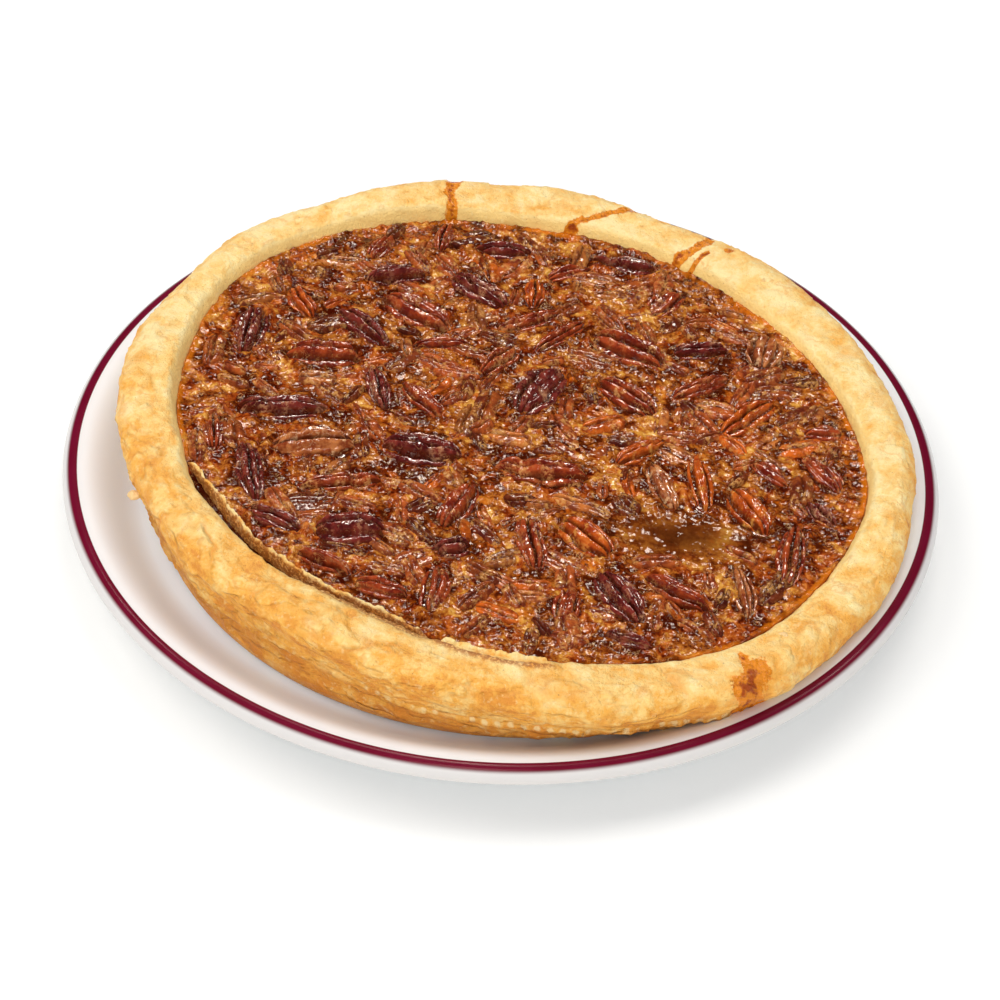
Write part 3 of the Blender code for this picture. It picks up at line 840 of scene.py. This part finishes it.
def make_crumbs():
    """Small loose crumbs: balls, each lumpy in its own way."""
    fall = np.linspace(0.25, np.pi - 0.25, CRUMB_ROWS)[:, None]
    turn = np.linspace(0.0, 360.0, CRUMB_STEPS, endpoint=False)
    ball = beside(*polar(np.sin(fall), turn), np.cos(fall))
    x, y, height, size = [column.reshape(-1, 1, 1) for column in np.array(CRUMBS).T]
    lumps = 1.0 + 0.35 * cloud(ball + 20.0 * np.arange(len(x)).reshape(-1, 1, 1, 1), 1.1, 2, 221)
    places = beside(x + PIE_CENTRE[0], y + PIE_CENTRE[1], pie_floor + height + lean(x, y))
    points = ball * lumps[..., None] * size[..., None] * np.array([1.0, 0.75, 0.6]) + places
    paint = np.tile([[[1.9, 0.35, 0.0, 0.5]]], (len(x), CRUMB_ROWS * CRUMB_STEPS + 2, 1))
    return many("crumbs", points, {"bake": paint})


# ---------------------------------------------------------------- the filling

# The pool of clear syrup: its place (x, y) from the pie's centre
POOL = (50.0, -45.0)


def disc_grid(side):
    """A square grid pressed into the unit disc: corners (u, v) keep even spacing, as x = u sqrt(1 - v^2 / 2)."""
    line = np.linspace(-1.0, 1.0, side)
    u, v = np.meshgrid(line, line, indexing="ij")
    return beside(u * np.sqrt(1.0 - 0.5 * v * v), v * np.sqrt(1.0 - 0.5 * u * u))


def pecan_local(pecan, x, y):
    """Places of the filling's points along and across a pecan."""
    dx = x - pecan["x"]
    dy = y - pecan["y"]
    turn = math.atan2(pecan["along"][1], pecan["along"][0])
    return dx * math.cos(turn) + dy * math.sin(turn), dy * math.cos(turn) - dx * math.sin(turn)


def pecan_half_width(share):
    """Half width of a pecan at a share (-1 to 1) of its half length, as a share of its widest."""
    return np.sqrt(unit(1.0 - np.abs(share) ** 2.4))


def make_filling():
    """The top of the filling on a disc-shaped grid: swells, froth, ridges and small pits, banked up against the
    halves and the shell, with a smooth pool; a skirt and a base close it underneath."""
    disc = disc_grid(FILL_SIDE)
    bearing = np.degrees(np.arctan2(disc[..., 1], disc[..., 0]))
    part = flake_share(bearing)
    shell_mouth = around("mouth", bearing)
    mouth = shell_mouth + 0.35 + (CRACK_WIDTH + 0.3) * part
    x = disc[..., 0] * mouth
    y = disc[..., 1] * mouth
    radius = np.linalg.norm(disc, axis=-1) * mouth
    flat = beside(x, y, 0.0)
    warped = flat + 1.6 * beside(ripple(flat, 6.0, 111), ripple(flat, 6.0, 112), 0.0)
    pool = bell(np.hypot((x - POOL[0]) / 19.0, (y - POOL[1]) / 9.0), 1.0)
    rough = 1.0 - 0.85 * pool
    near, kind = cells(warped, 2.3, 141)
    froth = unit(1.0 - (near / 0.62) ** 2)
    height = 0.6 * cloud(flat, 17.0, 2, 101)
    height += rough * 0.50 * cloud(warped, 5.0, 3, 121, 0.6)
    height += rough * 0.34 * ridges(warped, 3.6, 3, 131)
    height += rough * 0.35 * (froth * (0.4 + kind))
    height -= 1.6 * unit(1.0 - 3.0 * near) * (kind < 0.06)
    height += 0.7 * bell(radius - mouth, 1.3)
    cover = cloud(flat, 7.0, 3, 151)
    # shade: painted shade in the syrup's colour round the edge of each half
    shade = 0.0 * x
    for pecan in pecans.values():
        a, c = pecan_local(pecan, x, y)
        half = 0.5 * pecan["width"] * pecan_half_width(a / (0.5 * pecan["length"]))
        inside = np.minimum(half - np.abs(c), 0.5 * pecan["length"] - np.abs(a))
        near_edge = bell(inside + 0.2, 2.0) * (0.15 + 0.35 * cover) * pecan["top"]
        sunk = smooth(inside, 0.2, 2.4)
        height = height + near_edge * (1.0 - sunk) + (0.75 * cover - 0.35) * sunk
        shade = np.maximum(shade, bell(inside + 0.3, 1.1) * smooth(-cover, -0.3, 0.5))
    top = over_syrup(x, y, height)
    # behind: the syrup in the gap behind the lifted flake, set lower and painted darker as shade
    behind = part * smooth(radius, shell_mouth - 0.3, shell_mouth + 1.2)
    top[..., 2] -= 3.2 * behind

    # Painted shade: the tone is darker round the halves and behind the flake
    tone = unit(0.5 + 0.5 * cloud(warped, 11.0, 4, 161, 0.6)) - 0.7 * shade - 0.9 * behind
    patch = unit(0.5 + 0.5 * cloud(flat, 26.0, 3, 171))
    rim_glow = smooth(radius, mouth - 3.6, mouth - 0.5) * (1.0 - behind)
    paint = beside(tone, patch, unit(pool), rim_glow)

    index = np.arange(top[..., 0].size).reshape(FILL_SIDE, FILL_SIDE)
    border = np.concatenate([index[:-1, 0], index[-1, :-1], index[:0:-1, -1], index[0, :0:-1]])
    low = index.size + np.arange(len(border))
    lower = top.reshape(-1, 3)[border] - [0.0, 0.0, 4.0]
    bottom = np.array([[*PIE_CENTRE, lower[:, 2].mean()]])
    points = np.concatenate([top.reshape(-1, 3), lower, bottom])
    skirt = np.stack([border, low, np.roll(low, -1), np.roll(border, -1)], axis=1)
    faces = [faces_of_grid(FILL_SIDE, FILL_SIDE, False)[:, ::-1], skirt, fan(len(points) - 1, low, True)]
    colours = np.concatenate([paint.reshape(-1, 4), np.tile([[0.4, 0.5, 0.0, 1.0]], (len(low) + 1, 1))])
    return build("filling_top", points, faces, {"tone": colours})


def syrup():
    """Baked syrup: froth of fine bubbles, mottled from dark brown over amber to gold, olive brown in the pool
    and clear orange at the shell, with small dark pits between the bubbles, and pale curls that are partly the
    froth's bubble walls and partly painted highlights."""
    paint = Paint("syrup", roughness=0.07, specular_ior_level=0.27)
    tone, patch, pool = paint.parts(paint.attribute("tone"))
    edge = paint.attribute("tone", "Alpha")
    fine = paint.noise(1.7, 5.0, 0.68)
    speckle = paint.noise(0.6, 2.0, 0.6)
    blotch = paint.noise(5.5, 2.0, 0.5, 0.8)
    still = 1.0 - pool * 0.85
    value = tone * 0.80 + patch * 0.34 - 0.06 + (fine - 0.5) * still * 1.5 + (speckle - 0.5) * still * 0.5
    value = value + (blotch - 0.5) * still * 1.6 + (0.42 - paint.dots(1.1)) * still * 0.30
    colour = paint.coats(
        (0.070, 0.008, 0.001),
        (paint.step(value, 0.12, 0.40), (0.20, 0.036, 0.004)),
        (paint.step(value, 0.38, 0.66), (0.42, 0.118, 0.014)),
        (paint.step(value, 0.66, 0.98), (0.68, 0.30, 0.045)),
        (paint.step(value, 0.98, 1.28), (0.84, 0.46, 0.13)),
    )
    under = paint.step(paint.noise(8.0, 2.0, 0.5, 1.4), 0.49, 0.57) * still
    colour = paint.mix(under * 0.85, colour, (0.82, 0.44, 0.42), "MULTIPLY")
    amber = paint.step(paint.noise(9.0, 2.0), 0.60, 0.72) * paint.step(fine, 0.35, 0.6)
    # curl: pale winding lines, partly the froth's bubble walls and partly painted highlights
    curl = paint.streaks((1.5, 1.0, 0.5, 0.6), (0.012, 0.045), (3.0, 2.0), (0.50, 0.62)) * still
    glow = paint.step(edge + (fine - 0.5) * 0.6, 0.45, 0.95) * paint.step(paint.noise(12.0, 2.0), 0.40, 0.58)
    paint.set(base_color=paint.coats(
        colour,
        (amber * 0.7, (0.62, 0.13, 0.006)),
        (curl * 0.40, (0.88, 0.50, 0.20)),
        (pool * 0.72, (0.060, 0.016, 0.003)),
        (glow * 0.75, (0.68, 0.17, 0.006)),
    ))
    raised = paint.noise(2.8, 1.0, 0.35) + paint.noise(1.4, 0.0) * 0.25
    paint.set(normal=paint.bump(raised * (1.0 - pool * 0.7), 0.65))
    return paint.material


# ---------------------------------------------------------------- the pecan halves

PECAN_ROWS, PECAN_ACROSS, PECAN_UNDER = 60, 45, 11
FIRST_PECAN_SEED = 500

# The lengthwise bars of a half: place across it, half width and height, as shares of its half width and height
BARS = [(-0.76, 0.20, 0.50), (-0.30, 0.27, 1.0), (0.28, 0.26, 0.94), (0.74, 0.20, 0.46)]


def bars_of_nut(share, across, work, seed):
    """The top of a nut as a height from 0 to about 1, and how deep each point is in a gap between bars: every
    bar is round across, wanders a little, ends bluntly at its own length, and is knobbly along it."""
    random = np.random.default_rng(seed)
    height = 0.0 * (share + across)
    nearest = height + 1.0
    sway = 0.07 * np.sin(2.4 * share + 6.0 * random.random()) + 0.03 * np.sin(5.5 * share + 6.0 * random.random())
    for index, (place, half, tall) in enumerate(BARS):
        wide = half * (1.0 + 0.14 * random.normal())
        reach = 1.0 - 0.10 * abs(random.normal()) - 0.16 * abs(place)
        offset = 0.05 * random.normal()
        away = np.abs(across - place * (1.0 - 0.25 * share**2) - sway - offset) / wide
        end = unit(1.0 - np.abs(share / reach) ** 5) ** 0.5
        knobs = 1.0 + 0.13 * ripple(work * [1.0, 0.3, 0.3] + 31.0 * index, 2.9, seed + index)
        bar = tall * (1.0 + 0.12 * random.normal()) * end * knobs * unit(1.0 - away**2.4) ** 0.5
        height = np.maximum(height, bar)
        nearest = np.minimum(nearest, away * (1.0 + 2.0 * (1.0 - end)))
    return height, smooth(nearest, 0.66, 0.96)


def nut_grid(rows, across, under, blunt):
    """Shares from -1 to 1 along a nut, and across it over the top and back underneath; and which columns are on
    the top. blunt is the angle that the ends keep off the poles."""
    share = -np.cos(np.linspace(blunt, np.pi - blunt, rows))[:, None]
    sides = np.concatenate([np.linspace(-1.0, 1.0, across), np.linspace(1.0, -1.0, under + 2)[1:-1]])
    return share, sides[None, :], (np.arange(across + under) < across)[None, :]


def make_pecan(name, seed):
    """Half a pecan, set in the syrup: bars of nut side by side with deep gaps between them on the top, which
    dips under the froth here and there; the underside is a plain bowl."""
    pecan = pecans[name]
    length, width, top = pecan["length"], pecan["width"], pecan["top"]
    random = np.random.default_rng(seed)
    share, across, upper = nut_grid(PECAN_ROWS, PECAN_ACROSS, PECAN_UNDER, 0.10)
    work = beside(0.5 * length * share, 0.5 * width * across, 0.0) + 100.0 * (seed % 89)
    edge = 1.0 + 0.12 * cloud(work * [1.0, 0.2, 0.2], 6.0, 2, seed)
    half = 0.5 * width * pecan_half_width(share) * edge
    bars, gap = bars_of_nut(share, across, work, seed)
    rise = pecan_half_width(share) ** 0.5
    arch = np.sqrt(unit(1.0 - across**2))
    wrinkle = 0.10 * ridges(work * [0.28, 1.0, 1.0], 2.0, 2, seed + 7) + 0.05 * cloud(work, 1.9, 2, seed + 9)
    crown = (top + 0.5) * (bars * (0.92 + wrinkle) * rise - 0.10 + 0.10 * arch)
    bowl = -3.2 * rise * arch - 0.2
    dip = smooth(cloud(work, 9.0, 2, seed + 11), 0.15, 0.85)
    tilt = 0.06 * random.normal()
    pitch = 0.03 * random.normal()
    x = 0.5 * length * share
    y = half * across
    z = np.where(upper, crown - 1.5 * dip, bowl) + tilt * y + pitch * x
    axes = np.stack([pecan["along"], pecan["across"], pecan["up"]])
    rings = beside(x, y, z) @ axes + pecan["centre"]
    skin = 0.5 + 0.5 * cloud(work, 4.0, 3, seed + 3)
    froth = unit(0.6 * dip + smooth(cloud(work, 4.0, 3, seed + 5), 0.25, 0.7))
    paint = beside(np.where(upper, gap, 1.0), skin, froth, 1.0)
    poles = rings[0].mean(axis=0), rings[-1].mean(axis=0)
    return tube(name + "_half", rings, *poles, {"skin": with_tips(paint, [0.0, 0.5, 0.5, 1.0])})


def nut(slot, dark, light, glow):
    """A syrup-glazed nut: its skin between two colours, near black in the gaps, with froth caught on it and pale
    streaks that are partly froth and partly painted highlights. The broken pieces are duller, and each has its own
    tint."""
    broken = slot == "nut_pieces"
    paint = Paint(slot, roughness=0.1, specular_ior_level=0.42 if broken else 1.0)
    gap, skin, froth = paint.parts(paint.attribute("skin"))
    fine = paint.noise(1.2, 4.0, 0.65)
    colour = paint.mix(paint.step(skin + (fine - 0.5) * 1.2, 0.15, 0.9), dark, light)
    if broken:
        colour = paint.mix(1.0, colour, paint.attribute("tint"), "MULTIPLY")
    # streak: pale lines in the froth colour, partly froth and partly painted highlights
    streak = paint.streaks((1.6, 1.0, 0.5, 0.6), (0.010, 0.040), (3.4, 2.0), (0.50, 0.62))
    paint.set(base_color=paint.coats(
        colour,
        (gap * 0.85, (0.070, 0.008, 0.002)),
        (froth * paint.step(fine, 0.42, 0.58) * 0.75, glow),
        (streak * 0.40, glow),
    ))
    raised = paint.noise(2.2, 1.0, 0.4) + paint.noise(1.2, 0.0) * (0.25 + 0.5 * froth)
    paint.set(normal=paint.bump(raised, 0.45))
    return paint.material


# Broken pieces of nut: place (x, y) from the pie's centre, length, width, bearing, height over the syrup, tint
RED, DARK, AMBER, TAN = (1.0, 1.0, 1.0), (0.46, 0.42, 0.62), (1.6, 1.5, 0.7), (1.2, 1.7, 1.7)
NUT_PIECES = [
    (-96, 22, 15, 7, 85, 2.0, RED), (88, 32, 11, 7, 20, 2.0, DARK), (26, 3, 15, 8, 25, 1.8, AMBER),
    (77, -64, 19, 7, 60, 2.1, DARK), (42, -57, 15, 7, 10, 1.7, RED), (33, -34, 10, 8, 130, 2.2, DARK),
    (63, 57, 11, 5, 150, 1.6, AMBER), (67, 64, 10, 3.5, 165, 1.5, TAN), (92, 17, 9, 6, 70, 1.6, TAN),
    (-65, 76, 8, 5, 30, 1.8, DARK), (-78, 67, 9, 6, 100, 1.9, DARK), (-66, 66, 7, 5, 160, 1.7, DARK),
    (-58, 60, 8, 5, 10, 1.6, RED), (-44, 92, 9, 5, 60, 1.8, DARK), (-63, 13, 12, 8, 0, 1.5, TAN),
    (-35, -55, 13, 8, 150, 1.4, RED), (-49, -64, 14, 5, 170, 1.7, DARK), (-96, -24, 15, 6, 95, 1.9, RED),
]
PIECE_ROWS, PIECE_ACROSS, PIECE_UNDER = 20, 17, 4
PIECE_SPACING = 8.6


def scattered_pieces():
    """Broken pieces between the halves: one at each corner of a jittered lattice that is clear of the halves,
    the named pieces, the pool and the shell."""
    random = np.random.default_rng(71)
    line = np.arange(-96.0, 97.0, PIECE_SPACING)
    x, y = [grid.ravel() for grid in np.meshgrid(line, line)]
    x = x + random.uniform(-3.2, 3.2, x.shape)
    y = y + random.uniform(-3.2, 3.2, y.shape)
    mouth = around("mouth", np.degrees(np.arctan2(y, x)))
    clear = np.hypot(x, y) < mouth - 7.0
    clear &= np.hypot((x - POOL[0]) / 20.0, (y - POOL[1]) / 11.0) > 1.0
    for pecan in pecans.values():
        a, c = pecan_local(pecan, x, y)
        clear &= np.hypot(a / (0.5 * pecan["length"] + 1.0), c / (0.5 * pecan["width"] + 2.0)) > 1.0
    for row in NUT_PIECES:
        clear &= np.hypot(x - row[0], y - row[1]) > 0.5 * row[2] + 1.0
    x, y = x[clear], y[clear]
    count = len(x)
    kind = random.choice(4, count, p=[0.66, 0.12, 0.10, 0.12])
    tints = np.array([RED, DARK, AMBER, TAN])[kind] * random.uniform(0.75, 1.3, (count, 1))
    long = random.uniform(8.0, 17.0, count)
    wide = long * random.uniform(0.36, 0.60, count)
    turn = random.uniform(0.0, 180.0, count)
    tall = random.uniform(0.8, 2.1, count)
    return np.concatenate([np.stack([x, y, long, wide, turn, tall], axis=1), tints], axis=1)


def make_nut_pieces():
    """Every broken piece at once: two or three bars of nut side by side, knobbly along their length and cut
    off bluntly at a slant, dipping under the froth on one side."""
    named = np.array([[*row[:6], *row[6]] for row in NUT_PIECES], float)
    rows = np.concatenate([named, scattered_pieces()])
    count = len(rows)
    random = np.random.default_rng(83)
    x, y, long, wide, turn, tall = [rows[:, index].reshape(-1, 1, 1) for index in range(6)]
    share, across, upper = nut_grid(PIECE_ROWS, PIECE_ACROSS, PIECE_UNDER, 0.16)

    def pick(low, high):
        return random.uniform(low, high, (count, 1, 1))

    slant = pick(-0.35, 0.35)
    work = beside(0.5 * long * share, 0.5 * wide * across, 0.0)
    work = work + 40.0 * np.arange(count).reshape(-1, 1, 1, 1)
    half = 0.5 * wide * (1.0 - np.abs(share) ** pick(2.5, 5.0)) ** 0.45 * (1.0 + 0.14 * cloud(work, 4.0, 2, 301))
    split = pick(-0.25, 0.25) + 0.10 * np.sin(3.0 * share + pick(0.0, 6.0))
    gap = bell(across - split, 0.13) + pick(0.0, 0.9) * bell(across - split - pick(0.4, 0.6), 0.09)
    gap = unit(gap)
    dome = unit(1.0 - np.abs(across) ** 2.6) ** 0.5
    knobs = 1.0 + 0.16 * ripple(work, 2.7, 303) + 0.06 * cloud(work, 1.5, 2, 305)
    end = unit(1.0 - np.abs(share) ** 6) ** 0.5
    crown = tall * (dome * knobs * (1.0 - 0.55 * gap) * end * 1.25 - 0.25) + pick(-0.8, 0.8) * across * 0.5
    bowl = -2.2 * np.sqrt(unit(1.0 - across**2)) * end - 0.4
    along = 0.5 * long * (share + slant * across * 0.3)
    side = half * across
    c, s = polar(1.0, turn)
    points = over_syrup(x + along * c - side * s, y + along * s + side * c, np.where(upper, crown, bowl))
    skin = 0.5 + 0.5 * cloud(work, 3.5, 2, 307)
    froth = smooth(cloud(work, 3.5, 3, 309), 0.0, 0.5)
    paint = beside(np.where(upper, gap, 1.0), skin, froth, 1.0).reshape(count, -1, 4)
    tips = np.tile([[[0.5, 0.5, 0.5, 1.0]]], (count, 2, 1))
    tint = np.concatenate([rows[:, 6:9], np.ones((count, 1))], axis=1)[:, None, :]
    tint = np.broadcast_to(tint, (count, paint.shape[1] + 2, 4))
    return many("nut_pieces", points, {"skin": np.concatenate([paint, tips], axis=1), "tint": tint})


# ---------------------------------------------------------------- the room

FLOOR_RADIUS, FLOOR_STEPS, FLOOR_HEIGHT = 8000.0, 96, -0.3
LAMP_DISTANCE = 1500.0
SURFACE_LIGHT = (1.0, 0.985, 0.96)
GLOSS_LIGHT = (1.0, 0.90, 0.80)
SKY = (0.93, 1.0, 1.08, 1.0)
SKY_STRENGTH = 0.56

# Lamps: name, bearing, height in degrees, width, watts, and whether they light surfaces or only their gloss
LAMPS = [
    ("key_lamp", 56, 70, 1000, 6.5, "diffuse"),
    ("left_lamp", 176, 52, 1200, 9.0, "diffuse"),
    ("front_lamp", 272, 27, 1200, 8.5, "diffuse"),
    ("sheen_back", 88, 64, 700, 7.0, "gloss"),
    ("sparkle_back", 84, 60, 330, 6.0, "gloss"),
    ("sparkle_left", 128, 52, 200, 2.0, "gloss"),
    ("sparkle_right", 30, 52, 200, 2.0, "gloss"),
    ("sparkle_front", 262, 74, 300, 2.5, "gloss"),
]


def make_floor():
    """A broad white disc, a little under the plate's foot so that the two never touch."""
    turn = np.linspace(0.0, 2.0 * np.pi, FLOOR_STEPS, endpoint=False)
    ring = beside(FLOOR_RADIUS * np.cos(turn), FLOOR_RADIUS * np.sin(turn), FLOOR_HEIGHT)
    points = np.concatenate([ring, [[0.0, 0.0, FLOOR_HEIGHT]]])
    floor = build("floor", points, [fan(FLOOR_STEPS, np.arange(FLOOR_STEPS), False)])
    paint = Paint("white_floor", base_color=(0.95, 0.92, 0.88), roughness=0.8)
    paint.set(emission_color=(1.0, 1.0, 1.0), emission_strength=0.03)
    floor.data.materials.append(paint.material)


def add_light(name, bearing, elevation, size, power, shines):
    """A round lamp that looks at the plate, and lights either the surfaces or only the gloss on them."""
    light = bpy.data.lights.new(name, "AREA")
    light.shape = "DISK"
    light.size = size * MM
    light.energy = power
    light.color = GLOSS_LIGHT if shines == "gloss" else SURFACE_LIGHT
    a = math.radians(bearing)
    e = math.radians(elevation)
    place = Vector((math.cos(a) * math.cos(e), math.sin(a) * math.cos(e), math.sin(e))) * LAMP_DISTANCE * MM
    holder = bpy.data.objects.new(name, light)
    holder.matrix_world = Matrix.Translation(place) @ place.to_track_quat("Z", "Y").to_matrix().to_4x4()
    holder.visible_glossy = shines == "gloss"
    holder.visible_diffuse = shines == "diffuse"
    bpy.context.scene.collection.objects.link(holder)


def make_room():
    """A light tent: an even pale sky and broad soft lamps for the surfaces, small lamps for the sparkle."""
    for lamp in LAMPS:
        add_light(*lamp)
    world = bpy.data.worlds.new("studio")
    bpy.context.scene.world = world
    world.use_nodes = True
    world.cycles_visibility.glossy = False
    background = world.node_tree.nodes["Background"]
    background.inputs["Color"].default_value = SKY
    background.inputs["Strength"].default_value = SKY_STRENGTH


def make_camera():
    """The camera looks at the origin along +Y from above, and is turned a little about its own line of sight."""
    camera = bpy.data.cameras.new("camera")
    camera.lens = CAMERA_LENS
    camera.sensor_width = CAMERA_SENSOR
    e = math.radians(CAMERA_ELEVATION)
    place = Vector((0.0, -math.cos(e), math.sin(e))) * CAMERA_DISTANCE * MM
    aim = Vector(CAMERA_AIM) * MM
    gaze = place.to_track_quat("Z", "Y").to_matrix().to_4x4()
    holder = bpy.data.objects.new("camera", camera)
    roll = Matrix.Rotation(math.radians(CAMERA_ROLL), 4, "Z")
    holder.matrix_world = Matrix.Translation(place + aim) @ (gaze @ roll)
    bpy.context.scene.collection.objects.link(holder)
    bpy.context.scene.camera = holder


# ---------------------------------------------------------------- everything

# The nuts' colours: the dark and the light of their skin, and the froth caught on them, which also colours their
# pale streaks, partly painted highlights
NUT_COLOURS = {
    "pecan_red": ((0.15, 0.012, 0.006), (0.42, 0.062, 0.014), (0.70, 0.32, 0.10)),
    "pecan_dark": ((0.075, 0.007, 0.007), (0.23, 0.030, 0.020), (0.56, 0.26, 0.12)),
    "pecan_amber": ((0.30, 0.030, 0.005), (0.62, 0.115, 0.012), (0.75, 0.34, 0.07)),
    "pecan_tan": ((0.24, 0.038, 0.010), (0.56, 0.18, 0.050), (0.80, 0.48, 0.24)),
    "nut_pieces": ((0.15, 0.022, 0.009), (0.42, 0.085, 0.016), (0.66, 0.32, 0.09)),
}


def main():
    make_camera()
    make_room()
    make_floor()
    settle(make_plate(), "plate_glaze", glaze(), "plate")
    dough = pastry()
    settle(make_shell(), "pastry", dough, "crust")
    for layer in LIFTED_LAYERS:
        settle(make_flake(*layer), "pastry", dough)
    settle(make_crumbs(), "pastry", dough)
    settle(make_filling(), "syrup", syrup(), "filling")
    nuts = {slot: nut(slot, *colours) for slot, colours in NUT_COLOURS.items()}
    settle(make_nut_pieces(), "pecan_red", nuts["nut_pieces"])
    for number, name in enumerate(pecans):
        slot = pecan_slots[name]
        settle(make_pecan(name, number + FIRST_PECAN_SEED), slot, nuts[slot], name)
    bpy.context.scene.view_settings.view_transform = "Standard"


main()
